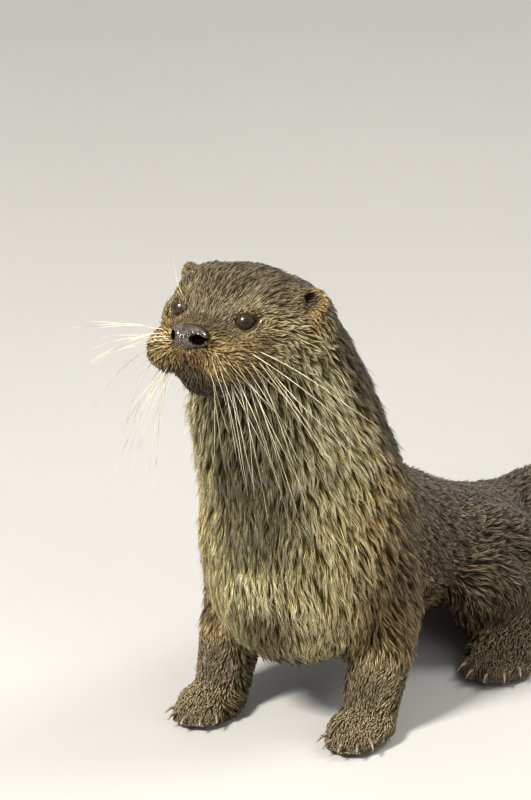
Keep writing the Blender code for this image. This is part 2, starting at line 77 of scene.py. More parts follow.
FLOOR_CLEARANCE = 0.3 * MM
UP = np.array([0.0, 0.0, 1.0])
Array = np.ndarray
Rng = np.random.Generator
Mesh = bpy.types.Mesh
Material = bpy.types.Material
Object = bpy.types.Object
Point = tuple[float, float, float]
Span = tuple[float, float]


class Side(Enum):
    """The otter's two sides and the sign of each across its body."""

    LEFT = 1.0
    RIGHT = -1.0

    @property
    def word(self) -> str:
        """The side's name, as the solids spell it."""
        return self.name.lower()


# --- Small tools ---
def unit(vectors: Array) -> Array:
    """Scale one vector, or rows of vectors, to length one."""
    return vectors / np.maximum(np.linalg.norm(vectors, axis=-1, keepdims=True), 1e-12)


def eased(value: Array, start: float, end: float) -> Array:
    """Ease from 0 where the value is at start to 1 where it is at end."""
    part = np.clip((value - start) / (end - start), 0.0, 1.0)
    return part * part * (3.0 - 2.0 * part)


def bell(offset: Array, spread: float) -> Array:
    """Return 1 where the offset is 0, falling off to 0 over about twice the spread."""
    return np.exp(-(offset / spread) ** 2)


def rounds(count: int) -> Array:
    """Return evenly spaced angles all the way round."""
    return np.linspace(0.0, 2.0 * math.pi, count, endpoint=False)


def circled(angle: Array, across: Array, over: Array) -> Array:
    """Return directions at some angles, counted from across towards over."""
    return np.cos(angle)[..., None] * across + np.sin(angle)[..., None] * over


def turned(ways: Array, normals: Array, angle: Array) -> Array:
    """Return directions turned about the skin's normals by some angles."""
    return circled(angle, ways, np.cross(normals, ways))


def flattened(ways: Array, normals: Array) -> Array:
    """Return directions laid into the skin's plane."""
    return unit(ways - normals * (ways * normals).sum(1, keepdims=True))


def ripple(points: Array, wavelength: float, seed: int, waves: int = 7) -> Array:
    """Give soft irregular waves through space.

    Args:
        points: Rows of places.
        wavelength: The usual distance from crest to crest.
        seed: Which set of waves.
        waves: How many plane waves are added up.

    Returns:
        One value for each place, mostly between -1 and 1.
    """
    rng = np.random.default_rng(seed)
    total = np.zeros(len(points))
    for _ in range(waves):
        heading = unit(rng.normal(size=3))
        pace = 2.0 * math.pi / (wavelength * rng.uniform(0.7, 1.5))
        total += np.sin(points @ heading * pace + rng.uniform(0.0, 2.0 * math.pi))
    return total / math.sqrt(waves)


def mesh_object(name: str, points: Array, triangles: Array) -> Object:
    """Make a smooth-shaded mesh object.

    Args:
        name: The piece's name.
        points: Rows of places.
        triangles: Rows of three point indices.

    Returns:
        The linked object.
    """
    mesh = bpy.data.meshes.new(name)
    mesh.vertices.add(len(points))
    mesh.vertices.foreach_set("co", points.astype(np.float32).ravel())
    mesh.loops.add(triangles.size)
    mesh.loops.foreach_set("vertex_index", triangles.astype(np.int32).ravel())
    mesh.polygons.add(len(triangles))
    mesh.polygons.foreach_set("loop_start", np.arange(0, triangles.size, 3, dtype=np.int32))
    mesh.polygons.foreach_set("use_smooth", np.ones(len(triangles), dtype=bool))
    mesh.update(calc_edges=True)
    mesh.validate()
    thing = bpy.data.objects.new(name, mesh)
    bpy.context.scene.collection.objects.link(thing)
    return thing


def mesh_arrays(mesh: Mesh) -> tuple[Array, Array]:
    """Read a mesh.

    Args:
        mesh: The mesh to read.

    Returns:
        Its points and triangles.
    """
    mesh.calc_loop_triangles()
    points = np.empty(len(mesh.vertices) * 3, dtype=np.float32)
    mesh.vertices.foreach_get("co", points)
    triangles = np.empty(len(mesh.loop_triangles) * 3, dtype=np.int32)
    mesh.loop_triangles.foreach_get("vertices", triangles)
    return points.reshape(-1, 3).astype(float), triangles.reshape(-1, 3)


def gathered(nodes: Sequence[str]) -> tuple[Array, Array, Array]:
    """Read some solids as one mesh.

    Args:
        nodes: The solids' names.

    Returns:
        Points, triangles and the number of each triangle's solid.
    """
    points, triangles, owners, offset = [], [], [], 0
    for number, node in enumerate(nodes):
        own, faces = mesh_arrays(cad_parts[node].data)
        points.append(own)
        triangles.append(faces + offset)
        owners.append(np.full(len(faces), number))
        offset += len(own)
    return np.concatenate(points), np.concatenate(triangles), np.concatenate(owners)


def write_attribute(mesh: Mesh, name: str, values: Array) -> None:
    """Write one number for each point of a mesh."""
    made = mesh.attributes.new(name, "FLOAT", "POINT")
    made.data.foreach_set("value", values.astype(np.float32))


def grid_triangles(rings: int, around: int, offset: int = 0) -> Array:
    """Join rings of points that close on themselves.

    Args:
        rings: How many rings there are.
        around: How many points each ring has.
        offset: The index of the first point.

    Returns:
        Rows of three point indices.
    """
    ring, step = np.meshgrid(np.arange(rings - 1), np.arange(around), indexing="ij")
    ring, step = ring.ravel(), step.ravel()
    after = (step + 1) % around
    a, b = ring * around + step, ring * around + after
    c, d = a + around, b + around
    return np.concatenate([np.stack([a, b, d], 1), np.stack([a, d, c], 1)]) + offset


def edges_of(triangles: Array) -> Array:
    """Return the two ends of each triangle's three edges."""
    return np.concatenate([triangles[:, [0, 1]], triangles[:, [1, 2]], triangles[:, [2, 0]]])


def swept(line: Array, along: Array, radius: Array, around: int, oval: Span = (1.0, 1.0)) -> Array:
    """Sweep a round section along a line, clear of the floor.

    Args:
        line: Rows of places.
        along: The line's direction, or one for each place.
        radius: The section's radius at each place.
        around: How many points a section has.
        oval: The section's width and height as shares of its radius.

    Returns:
        Rows of places, section after section.
    """
    across = unit(np.cross(along, UP))
    over = np.cross(across, along)
    ring = circled(rounds(around), across[..., None, :] * oval[0], over[..., None, :] * oval[1])
    places = (line[:, None] + ring * radius[:, None, None]).reshape(-1, 3)
    places[:, 2] = np.maximum(places[:, 2], FLOOR_CLEARANCE)
    return places


def tubes_object(name: str, tubes: list[Array], rings: int, around: int) -> Object:
    """Make one mesh object of tubes that all have as many rings, and points around."""
    triangles = [grid_triangles(rings, around, number * rings * around) for number in range(len(tubes))]
    return mesh_object(name, np.concatenate(tubes), np.concatenate(triangles))


def corners(node: str) -> tuple[Array, Array]:
    """Return a solid's lowest and highest corners as arrays."""
    low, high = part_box(node)
    return np.array(low, float), np.array(high, float)


def centre_of(node: str) -> Array:
    """Return the middle of a solid's box."""
    return sum(corners(node)) / 2


# --- Where the head and body are ---
# Places on the head are in millimetres ahead, to the left and up from between the ears.
LIPS = ((36, -35, -42), (46, -31, -43.5), (55, -23, -42.5), (62, -12.5, -40), (67, -4, -36.5),
        (68, 0, -35), (67, 4, -36.5), (62, 12.5, -40), (55, 23, -42.5), (46, 31, -43.5), (36, 35, -42))
PHILTRUM = ((74, 0, -18), (72, 0, -22), (70.5, 0, -27), (69.5, 0, -31), (68, 0, -35))
EAR_HOLLOW = np.array([(6.0, 50.5, 1.5), (-5.0, 39.5, 1.5)])  # from its mouth inwards
LINE_POINTS = 90
LINE_REACH = 60 * MM
FAR_FROM_LINE = 1.0
NOSE_HALF_WIDTH = 13.2 * MM
NOSE_HALF_HEIGHT = 7.0 * MM
NOSE_HALF_DEPTH = 7 * MM
NOSE_SLOPE = 0.3
FAR_FROM_NOSE = 9.0


@dataclass(frozen=True)
class HeadAxes:
    """The head's own directions, found from the two eyeballs, and its features' places."""

    origin: Array
    ahead: Array
    left: Array

    eyes_ahead: float = 40.4 * MM
    eyes_rise: float = -6.0 * MM

    @classmethod
    def measured(cls) -> "HeadAxes":
        """Find the axes from the solids.

        Returns:
            Axes whose origin is midway between the ears.
        """
        eyes = {side: centre_of("eye_" + side.word) for side in Side}
        left = unit(eyes[Side.LEFT] - eyes[Side.RIGHT])
        ahead = np.cross(left, UP)
        between = (eyes[Side.LEFT] + eyes[Side.RIGHT]) / 2
        return cls(between - ahead * cls.eyes_ahead - UP * cls.eyes_rise, ahead, left)

    def turn(self, vectors: Array) -> Array:
        """Return world directions of vectors given in head axes."""
        return vectors @ np.stack([self.ahead, self.left, UP])

    def world(self, places: Array) -> Array:
        """Return world places of points given in head axes."""
        return self.origin + self.turn(places)

    def local(self, points: Array) -> Array:
        """Return places in head axes: ahead, left and rise."""
        return (points - self.origin) @ np.stack([self.ahead, self.left, UP]).T

    def nose_share(self, points: Array) -> Array:
        """Return how far out over the nose pad each point lies.

        Args:
            points: Rows of places.

        Returns:
            0 at the pad's middle, 1 at its rim and large away from it.
        """
        offset = self.local(points) - self.local(centre_of("nose_pad"))
        wide = offset[:, 1] / NOSE_HALF_WIDTH
        tall = (offset[:, 2] + NOSE_SLOPE * offset[:, 0]) / NOSE_HALF_HEIGHT
        share = np.hypot(wide, tall)
        share[offset[:, 0] < -NOSE_HALF_DEPTH] = FAR_FROM_NOSE
        return share

    def ear_gap(self, points: Array) -> Array:
        """Return how far each point lies from the hollow of the nearer ear.

        Args:
            points: Rows of places.

        Returns:
            One distance for each point.
        """
        local = self.local(points)
        local[:, 1] = np.abs(local[:, 1])
        mouth, way = EAR_HOLLOW[0] * MM, (EAR_HOLLOW[1] - EAR_HOLLOW[0]) * MM
        share = np.clip((local - mouth) @ way / (way @ way), 0.0, 1.0)
        return np.linalg.norm(local - mouth - share[:, None] * way, axis=1)

    def line_gap(self, points: Array, route: tuple[Point, ...]) -> Array:
        """Return how far each point lies from a line on the head.

        Args:
            points: Rows of places.
            route: The line's corners.

        Returns:
            One distance for each point, or a large number when far away.
        """
        corner = np.array(route, float)
        steps = np.linspace(0.0, len(corner) - 1.0, LINE_POINTS)
        line = self.world(MM * np.stack([np.interp(steps, np.arange(len(corner)), corner[:, axis])
                                         for axis in range(3)], 1))
        gap = np.full(len(points), FAR_FROM_LINE)
        near = np.flatnonzero(np.linalg.norm(points - line.mean(0), axis=1) < LINE_REACH)
        gap[near] = np.linalg.norm(points[near][:, None] - line[None], axis=2).min(1)
        return gap


@dataclass(frozen=True)
class Socket:
    """Where one eye sits, and the frame of its opening."""

    centre: Array
    out: Array
    back: Array
    up: Array
    side: Side

    radius: float = 6.2 * MM
    half_width: float = 5.5 * MM
    half_height: float = 5.0 * MM
    corner: float = 0.7 * MM  # how much further the lids open at the eye's corners
    sharpness: int = 10
    crest: float = 0.75 * MM  # how high the lids' edges stand up
    edge_width: float = 0.7 * MM
    edge_sink: float = 0.10 * MM
    fall: float = 0.55  # how steeply the lids fall away from their edges
    turn: float = math.radians(34.0)
    lift: float = math.radians(12.0)

    @classmethod
    def on(cls, axes: HeadAxes, side: Side) -> "Socket":
        """Find the socket of one side.

        Args:
            axes: The head's axes.
            side: Which eye.

        Returns:
            The eye's centre and the directions of its opening.
        """
        level, aside = math.cos(cls.lift), side.value
        out = axes.turn(np.array([level * math.cos(cls.turn), aside * level * math.sin(cls.turn),
                                  math.sin(cls.lift)]))
        back = unit(axes.turn(np.array([-math.sin(cls.turn), aside * math.cos(cls.turn), 0.0])))
        up = unit(np.cross(out, back)) * aside
        return cls(centre_of("eye_" + side.word), out, back, up, side)

    def opening(self, angle: Array) -> Array:
        """Tell how wide the lids open.

        Args:
            angle: Angles round the eye.

        Returns:
            The distance from the eye's axis to the lids at each angle.
        """
        width, height = self.half_width, self.half_height
        oval = width * height / np.hypot(height * np.cos(angle), width * np.sin(angle))
        return oval + self.corner * np.abs(np.cos(angle)) ** self.sharpness

    def polar(self, points: Array) -> tuple[Array, Array, Array]:
        """Read points in the opening's frame.

        Args:
            points: Rows of places.

        Returns:
            Distance from the eye's axis, angle round it, height along it.
        """
        offset = points - self.centre
        across, rise = offset @ self.back, offset @ self.up
        return np.hypot(across, rise), np.arctan2(rise, across), offset @ self.out

    def covers(self, points: Array, clear: float) -> Array:
        """Tell which points lie in front of the eye, or nearer to its opening than clear.

        Args:
            points: Rows of places.
            clear: A distance outside the opening.

        Returns:
            True for each such point.
        """
        distance, angle, height = self.polar(points)
        return (distance < self.opening(angle) + clear) & (height > 0.0)

    def lid_height(self, distance: Array, angle: Array) -> Array:
        """Tell how high the lids stand.

        Args:
            distance: Distances from the eye's axis.
            angle: Angles round it.

        Returns:
            Heights over the eye's centre, along the eye's axis.
        """
        edge = self.opening(angle)
        on_ball = np.sqrt(np.maximum(self.radius ** 2 - np.minimum(distance, edge) ** 2, 0.0))
        beyond = np.maximum(distance - edge, 0.0)
        crest = self.crest * eased(beyond, 0.0, self.edge_width)
        return on_ball + crest - self.edge_sink - self.fall * np.maximum(beyond - self.edge_width, 0.0)


# --- The plan of the coat ---
@dataclass(frozen=True)
class Patch:
    """How the coat is at one place of the body; between places it is blended."""

    node: str
    at: Point
    reach: float
    lie: Point
    length: float
    depth: float
    width: float
    lock: float
    pale: float
    warm: float
    shade: float


def patches(node: str, *rows: tuple) -> list[Patch]:
    """Return the patches of one solid, or of the head when the solid has no name."""
    return [Patch(node, *row) for row in rows]


# A row is a place, its reach, the lie of its hair, then length, depth, width, lock, pale, warm
# and shade. Shade is mostly the coat's own lightness, but in some rows it is painted shade.
# Sizes are in millimetres, and so are places in the head's axes. Other places are
# shares of their solid's box across, back and up, where across is 0 on the middle line.
PATCHES = patches(
    "",
    ((62, 0, -4), 6, (-1, 0, 0.3), 2.2, 0.8, 0.42, 1.2, 0.1, 0.41, 0.46),
    ((50, 0, -1), 8, (-1, 0, 0.25), 3.6, 1, 0.4, 1.5, 0.1, 0.34, 0.53),
    ((44, 12, 1), 6, (-0.9, 0.35, 0.3), 3.6, 1.1, 0.4, 1.5, 0.26, 0.46, 0.48),
    ((30, 0, 8), 12, (-1, 0, 0.1), 9.7, 1, 0.44, 2, 0.06, 0.14, 0.76),
    ((6, 0, 14), 16, (-1, 0, -0.1), 13, 1.2, 0.46, 2.5, 0.05, 0.12, 0.68),
    ((28, 18, 6), 8, (-1, 0.25, -0.05), 9.7, 1.1, 0.44, 2, 0.12, 0.16, 0.76),
    ((4, 30, 7), 12, (-1, 0.2, -0.25), 11.9, 1.3, 0.46, 2.5, 0.12, 0.2, 0.72),
    ((-28, 0, 6), 16, (-1, 0, -0.6), 9.7, 1.8, 0.62, 2.5, 0.04, 0.05, 0.55),
    ((-26, 26, 0), 12, (-1, 0.05, -0.6), 9.7, 2, 0.62, 2.5, 0.1, 0.1, 0.7),
    # round the eye
    ((43, 22, 2.5), 3.4, (-0.9, 0.35, 0.3), 2.4, 0.9, 0.38, 1.2, 0.62, 0.51, 0.53),
    ((36, 30, 1), 4, (-1, 0.25, 0.05), 3.6, 1.1, 0.4, 1.5, 0.46, 0.4, 0.56),
    ((36, 33, -8), 4.5, (-1, 0.15, -0.2), 4, 1.3, 0.42, 1.6, 0.6, 0.4, 0.7),
    ((44, 29, -13), 4.4, (-0.95, 0.3, -0.25), 3.2, 1.1, 0.38, 1.4, 0.62, 0.61, 0.53),
    ((51, 22, -12), 3.6, (-0.9, 0.45, 0.05), 2.6, 1, 0.38, 1.2, 0.24, 0.56, 0.37),
    ((52, 14, -5), 4.4, (-0.85, 0.5, 0.35), 2.6, 0.9, 0.38, 1.2, 0.24, 0.51, 0.36),
    # muzzle pads, lips and chin
    ((65, 14, -8), 3.5, (-0.8, 0.6, 0.15), 3, 1.3, 0.36, 1.5, 0.48, 0.9, 0.57),
    ((58, 22, -18), 6, (-0.75, 0.55, -0.3), 3.6, 1.7, 0.36, 1.7, 0.54, 0.85, 0.7),
    ((68, 8, -24), 4.5, (-0.25, 0.55, -0.8), 3.4, 1.9, 0.36, 1.7, 0.5, 0.85, 0.64),
    ((64, 18, -28), 6, (-0.45, 0.45, -0.75), 4.2, 2, 0.38, 1.9, 0.58, 0.85, 0.7),
    ((48, 35, -28), 6, (-0.85, 0.25, -0.5), 4.4, 1.6, 0.46, 1.7, 0.5, 0.76, 0.5),
    ((69, 0, -29), 4, (0.1, 0, -1), 3.2, 1.6, 0.36, 1.6, 0.34, 0.86, 0.45),
    ((62, 14, -39), 4.5, (-0.25, 0.25, -0.95), 4.4, 1.6, 0.44, 1.7, 0.22, 0.5, 0.2),
    ((46, 30, -40), 5, (-0.7, 0.2, -0.7), 5.4, 1.6, 0.46, 1.8, 0.34, 0.45, 0.44),
    # painted shadow under the muzzle on the chin
    ((62, 0, -48), 7, (-0.6, 0, -0.8), 4, 1.4, 0.46, 1.7, 0.4, 0.3, 0.2),
    ((36, 0, -60), 14, (-1, 0, -0.5), 9, 2.4, 0.6, 2.8, 0.56, 0.2, 0.55),
    # cheeks, ears and the sides of the head
    ((26, 41, -20), 8, (-0.92, 0.12, -0.38), 6.5, 2, 0.5, 2.2, 0.64, 0.25, 1.34),
    ((8, 44, -32), 10, (-0.82, 0.05, -0.6), 11, 3.2, 0.65, 3.4, 0.86, 0.12, 1.48),
    ((24, 33, -48), 10, (-0.7, 0.05, -0.75), 10, 3.2, 0.65, 3.2, 0.72, 0.15, 0.9),
    ((14, 42, -6), 7, (-1, 0.1, -0.15), 6, 1.6, 0.46, 2, 0.28, 0.2, 0.95),
    ((9, 44, 3), 3.6, (-1, 0.1, -0.1), 3.6, 1, 0.4, 1.5, 0.12, 0.25, 0.7),
    ((7, 39, 9), 4, (-1, 0.2, 0), 4.4, 1.1, 0.4, 1.6, 0.14, 0.4, 0.85),
    ((10, 45, -7), 3.6, (-1, 0, -0.4), 4, 1.2, 0.4, 1.6, 0.3, 0.4, 0.8),
    ((0, 48, -12), 4, (-0.5, 0.2, -0.85), 7, 2.2, 0.42, 2, 0.62, 0.85, 1.1),
    ((-10, 45, -27), 8, (-0.7, 0.05, -0.75), 12, 3.4, 0.5, 3.6, 0.7, 0.15, 1.34),
    ((-23, 47, -19), 5.5, (-0.7, 0.05, -0.75), 11, 2.6, 0.46, 3.2, 0.22, 0.35, 0.42),
    ((-36, 47, -38), 8, (-0.55, 0.05, -0.85), 16, 3, 0.46, 4, 0.24, 0.34, 0.38),
    ((-2, 50, 8), 3.2, (-0.35, 0.5, 0.75), 3.4, 0.9, 0.38, 1.3, 0.42, 1, 1.66),
    ((-5, 54, 0), 3.4, (-0.75, 0.6, 0.1), 4, 1, 0.38, 1.4, 0.5, 1, 1.72),
    # painted shade in the ear's hollow, nearly black
    ((-0.5, 44.5, 1.5), 4.4, (-0.3, 0.65, 0.5), 2, 0.5, 0.34, 1.2, 0, 0.3, 0.06),
    ((2, 43, 8), 3, (-0.8, 0.3, 0.5), 3.6, 1, 0.38, 1.4, 0.3, 0.8, 1),
    ((3, 49, -7), 3, (-0.5, 0.5, -0.6), 4, 1, 0.38, 1.5, 0.42, 0.85, 1.44),
    ((-11, 46, 1), 5, (-0.9, 0.25, -0.2), 5, 1.4, 0.42, 1.8, 0.1, 0.4, 0.6),
)
PATCHES += patches(
    "neck",
    # painted shadow of the head on the throat: the first two rows have a low shade
    ((0, 0, 0.75), 24, (0, 0.05, -1), 18.7, 4.6, 0.4, 3.5, 0.66, 0.02, 0.28),
    ((0, 0, 0.2), 26, (0, 0.02, -1), 20, 5, 0.42, 3.7, 0.68, 0.05, 0.33),
    ((0.6, 0.1, 0.72), 16, (0.25, 0.35, -0.9), 20, 5.2, 0.42, 4.6, 0.92, 0.04, 1.25),
    ((0.7, 0.17, 0.72), 13, (0.25, 0.42, -0.88), 20, 5.2, 0.42, 4.9, 1, 0.04, 1.5),
    ((0.74, 0.18, 0.35), 18, (0.22, 0.38, -0.9), 20.6, 5.4, 0.44, 5, 0.96, 0.06, 1.4),
    ((0.86, 0.32, 0.38), 13, (0.1, 0.5, -0.86), 20, 5.2, 0.44, 5, 0.78, 0.2, 1.38),
    ((0.85, 0.22, 0.05), 16, (0.15, 0.38, -0.92), 20, 5.2, 0.44, 4.6, 0.82, 0.36, 2.35),
    ((0.95, 0.45, 0.05), 14, (0.05, 0.52, -0.86), 20, 4.5, 0.46, 4.6, 0.48, 0.6, 1.75),
    ((0.78, 0.45, 0.68), 10, (0, 0.62, -0.78), 19, 3.4, 0.44, 4.4, 0.26, 0.34, 0.4),
    ((0.84, 0.5, 0.76), 12, (0, 0.66, -0.76), 19, 3.2, 0.44, 4.4, 0.24, 0.32, 0.36),
    ((0.96, 0.64, 0.38), 14, (0, 0.64, -0.78), 19, 3.4, 0.46, 4.4, 0.24, 0.4, 0.44),
    ((0.7, 0.85, 0.55), 16, (0, 0.7, -0.75), 17, 3, 0.52, 3.9, 0.2, 0.3, 0.42),
    ((0, 1, 0.8), 24, (0, 0.65, -0.8), 14.6, 2.6, 0.61, 3.5, 0.08, 0.14, 0.48),
)
PATCHES += patches(
    "chest",
    # painted shadow of the head on the middle of the chest: the first two rows have a low shade
    ((0, 0, 0.8), 22, (0, 0, -1), 18.8, 5, 0.4, 3.6, 0.66, 0.06, 0.62),
    ((0.15, 0.02, 0.7), 12, (0.05, 0, -1), 16.2, 4.6, 0.4, 3.4, 0.62, 0.08, 0.69),
    ((0.06, 0.02, 0.55), 9, (0.12, 0, -1), 15.1, 4.6, 0.4, 2.9, 0.95, 0.15, 2.03),
    ((0.38, 0.06, 0.5), 12, (0.3, 0.05, -0.95), 20.3, 4.8, 0.4, 3.1, 1, 0.24, 1.89),
    ((0.42, 0.1, 0.32), 12, (0.1, 0, -1), 18.1, 4.4, 0.4, 3, 0.95, 0.3, 1.66),
    # painted shade between the forelegs
    ((0.12, 0.08, 0.36), 10, (0.25, 0, -1), 15.1, 4.2, 0.4, 2.7, 0.5, 0.22, 0.55),
    ((0.62, 0.12, 0.75), 16, (0.14, 0.15, -1), 18.2, 5, 0.42, 3.9, 0.86, 0.26, 1.2),
    ((0.62, 0.12, 0.5), 14, (0.12, 0.1, -1), 20.3, 4.6, 0.42, 3.2, 0.84, 0.4, 1.59),
    ((0.88, 0.24, 0.7), 16, (0.08, 0.36, -0.95), 18.2, 5, 0.46, 4.4, 0.6, 0.55, 1.9),
    ((0.98, 0.45, 0.75), 20, (0, 0.52, -0.85), 17.5, 4.8, 0.48, 4.4, 0.22, 0.55, 0.65),
    ((0.98, 0.45, 0.45), 18, (0, 0.45, -0.9), 15.1, 4.4, 0.48, 3.3, 0.2, 0.65, 0.59),
    ((0, 0.3, 0), 20, (0, 0.7, -0.4), 11.3, 3.4, 0.69, 3.1, 0.45, 0.3, 0.5),
)
PATCHES += patches(
    "foreleg_left",
    ((1, 0.1, 0.6), 16, (0.05, 0.05, -1), 9.8, 3, 0.56, 3, 0.62, 0.55, 1.78),
    ((1, 0.9, 0.5), 14, (0.05, 0.35, -0.95), 9.8, 3, 0.62, 3.2, 0.22, 0.6, 1.21),
    ((0.9, 0, 0.05), 13, (0, -0.1, -1), 6.9, 2, 0.56, 2.4, 0.3, 0.5, 0.85),
)
PATCHES += patches(
    "forepaw_left",
    ((0.7, 0.5, 0.95), 12, (0, -0.85, -0.45), 4, 1.2, 0.6, 1.8, 0.22, 0.35, 0.51),
    ((0.7, 0.1, 0.6), 12, (0, -1, -0.25), 2.6, 0.8, 0.55, 1.4, 0.18, 0.3, 0.42),
)
PATCHES += patches(
    "belly",
    ((0, 0.12, 0.97), 24, (0, 0.7, -0.7), 12.2, 2.7, 0.8, 3.4, 0.03, 0.1, 0.49),
    ((0, 0.7, 0.75), 30, (0, 1, -0.35), 12.8, 2.7, 0.88, 3.6, 0.04, 0.14, 0.53),
    ((0.95, 0.3, 0.6), 26, (0, 0.75, -0.6), 13.4, 2.9, 0.84, 3.8, 0.13, 0.32, 0.56),
    ((1, 0.7, 0.35), 26, (0, 0.95, -0.35), 12.8, 2.9, 0.92, 3.8, 0.13, 0.28, 0.56),
    ((0.4, 0.6, 0), 26, (0, 1, 0), 11, 2.6, 0.92, 3.6, 0.66, 0.25, 0.85),
)
PATCHES += patches(
    "rump",
    ((0, 0.4, 1), 30, (0, 1, -0.3), 12.2, 2.7, 0.92, 3.8, 0.04, 0.14, 0.53),
    ((1, 0.5, 0.4), 26, (0, 1, -0.2), 12.2, 2.7, 0.92, 3.8, 0.1, 0.21, 0.53),
    ((0.2, 0.5, 0), 26, (0, 1, 0), 9.8, 2.2, 0.92, 3.6, 0.5, 0.25, 0.75),
)
PATCHES += patches(
    "hindleg_left",
    ((1, 0.2, 0.6), 22, (0.1, 0.45, -0.85), 11, 2.4, 0.84, 3.6, 0.1, 0.28, 0.49),
    ((1, 0.8, 0.3), 20, (0.05, 0.55, -0.8), 9.2, 2.2, 0.8, 3.2, 0.08, 0.24, 0.46),
)
PATCHES += patches(
    "hindfoot_left",
    ((0.5, 0.85, 0.8), 14, (0, -0.7, -0.6), 4.5, 1.4, 0.75, 2.2, 0.16, 0.3, 0.51),
    ((0.6, 0.4, 0.9), 16, (0, -1, -0.2), 3.4, 1, 0.65, 1.8, 0.14, 0.28, 0.47),
    ((0.7, 0.08, 0.6), 14, (0.1, -1, -0.2), 2.6, 0.8, 0.6, 1.5, 0.12, 0.25, 0.42),
)
PATCHES += patches(
    "tail_base",
    ((0, 0.3, 1), 34, (0, 1, -0.05), 11.6, 1.9, 0.88, 3.2, 0.04, 0.14, 0.51),
    ((0, 0.6, 0), 26, (0, 1, 0), 9.8, 1.5, 0.92, 3.2, 0.3, 0.22, 0.75),
)
PATCHES += patches(
    "tail_middle",
    ((0, 0.5, 0.6), 40, (0, 1, -0.02), 11, 1.8, 0.84, 2.9, 0.05, 0.14, 0.5),
)
PATCHES += patches(
    "tail_tip",
    ((0, 0.5, 0.6), 40, (0, 1, -0.02), 9.8, 1.4, 0.76, 2.6, 0.04, 0.13, 0.46),
)


class CoatPlan:
    """The lie, length, depth, markings and painted shade of the coat all over the body."""

    VALUES = ("length", "depth", "width", "lock", "pale", "warm", "shade")
    SCALES = np.array([MM, MM, MM, MM, 1.0, 1.0, 1.0])
    CHUNK = 16384  # points read at once
    FAR_SHARE = 1e-5
    CLOSE_REACH = 10 * MM  # a patch that reaches less far than this counts for more
    CLOSE_POWER = 1.5

    def __init__(self, axes: HeadAxes) -> None:
        """Place every patch in the world, on both sides of the body.

        Args:
            axes: The head's axes.
        """
        self.axes = axes
        self.middle = centre_of("chest")[0]
        both = [(patch, side) for patch in PATCHES for side in Side]
        stands = [self._stand(patch, side.value) for patch, side in both]
        self.places = np.array([place for place, _ in stands])
        self.lies = np.array([unit(lie) for _, lie in stands])
        self.reaches = np.array([patch.reach * MM for patch, _ in both])
        self.values = np.array([[getattr(patch, name) for name in self.VALUES]
                                for patch, _ in both]) * self.SCALES
        self.close = (self.CLOSE_REACH / self.reaches) ** self.CLOSE_POWER

    def _stand(self, patch: Patch, sign: float) -> tuple[Array, Array]:
        """Return a patch's world place and lie on one side.

        Args:
            patch: The patch, given for the left side.
            sign: 1 for the left side and -1 for the right.

        Returns:
            The place and the direction of the hair.
        """
        at, lie = np.array(patch.at, float), np.array(patch.lie, float)
        if not patch.node:
            flip = np.array([1.0, sign, 1.0])
            return self.axes.world(at * flip * MM), self.axes.turn(lie * flip)
        low, high = corners(patch.node)
        size = high - low
        if patch.node.endswith("_left"):
            across = low[0] + at[0] * size[0] - self.middle
        else:
            across = at[0] * size[0] / 2
        if patch.node.startswith("tail"):
            across += ((low[0] + high[0]) / 2 - self.middle) * sign
        spot = np.array([self.middle + sign * across, low[1] + at[1] * size[1], low[2] + at[2] * size[2]])
        return spot, lie * np.array([sign, 1.0, 1.0])

    def read(self, points: Array) -> tuple[dict[str, Array], Array]:
        """Read the plan at some points.

        Args:
            points: Rows of places.

        Returns:
            Each value by name, and the lie of the hair.
        """
        values, lies = [], []
        for start in range(0, len(points), self.CHUNK):
            part = points[start:start + self.CHUNK]
            square = ((part[:, None, :] - self.places[None]) ** 2).sum(-1) / self.reaches ** 2
            weight = np.exp(-0.5 * square) * self.close + self.FAR_SHARE / (1.0 + square) ** 2
            weight /= weight.sum(1, keepdims=True)
            values.append(weight @ self.values)
            lies.append(weight @ self.lies)
        table = np.concatenate(values)
        return {name: table[:, column] for column, name in enumerate(self.VALUES)}, np.concatenate(lies)


# --- The skin ---
FLESH_NODES = tuple(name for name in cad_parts
                    if not name.startswith(("eye", "whisker", "nose")) and "claw" not in name)


class Surface:
    """A closed mesh of triangles that things can be laid on."""

    def __init__(self, points: Array, triangles: Array) -> None:
        """Keep the mesh and build its search tree.

        Args:
            points: Rows of places.
            triangles: Rows of three point indices.
        """
        self.points, self.triangles = points, triangles
        self.tree = BVHTree.FromPolygons(points.tolist(), triangles.tolist())
        corner = points[triangles]
        self.crosses = np.cross(corner[:, 1] - corner[:, 0], corner[:, 2] - corner[:, 0])
        normals = np.zeros_like(points)
        for column in range(3):
            np.add.at(normals, triangles[:, column], self.crosses)
        self.normals = unit(normals)
        self.face_normals = unit(self.normals[triangles].sum(1))

    def lay(self, points: Array) -> tuple[Array, Array]:
        """Lay points on the surface.

        Args:
            points: Rows of places near the surface.

        Returns:
            The nearest places on it and the normals there.
        """
        hits = [self.tree.find_nearest(point) for point in points.tolist()]
        places = np.array([tuple(hit[0]) for hit in hits])
        return places, self.face_normals[[hit[2] for hit in hits]]

    def scatter(self, spacing: Array, rng: Rng) -> tuple[Array, Array, Array]:
        """Scatter places over the surface.

        Args:
            spacing: The mean distance between places on each triangle.
            rng: Where the chances come from.

        Returns:
            The places, the normals there and each one's triangle.
        """
        area = np.linalg.norm(self.crosses, axis=1) / 2
        count = np.floor(area / spacing ** 2 + rng.random(len(area))).astype(int)
        owner = np.repeat(np.arange(len(area)), count)
        first, second = rng.random(len(owner)), rng.random(len(owner))
        fold = first + second > 1.0
        first[fold], second[fold] = 1.0 - first[fold], 1.0 - second[fold]
        share = np.stack([1.0 - first - second, first, second], 1)[:, :, None]
        chosen = self.triangles[owner]
        return (self.points[chosen] * share).sum(1), unit((self.normals[chosen] * share).sum(1)), owner


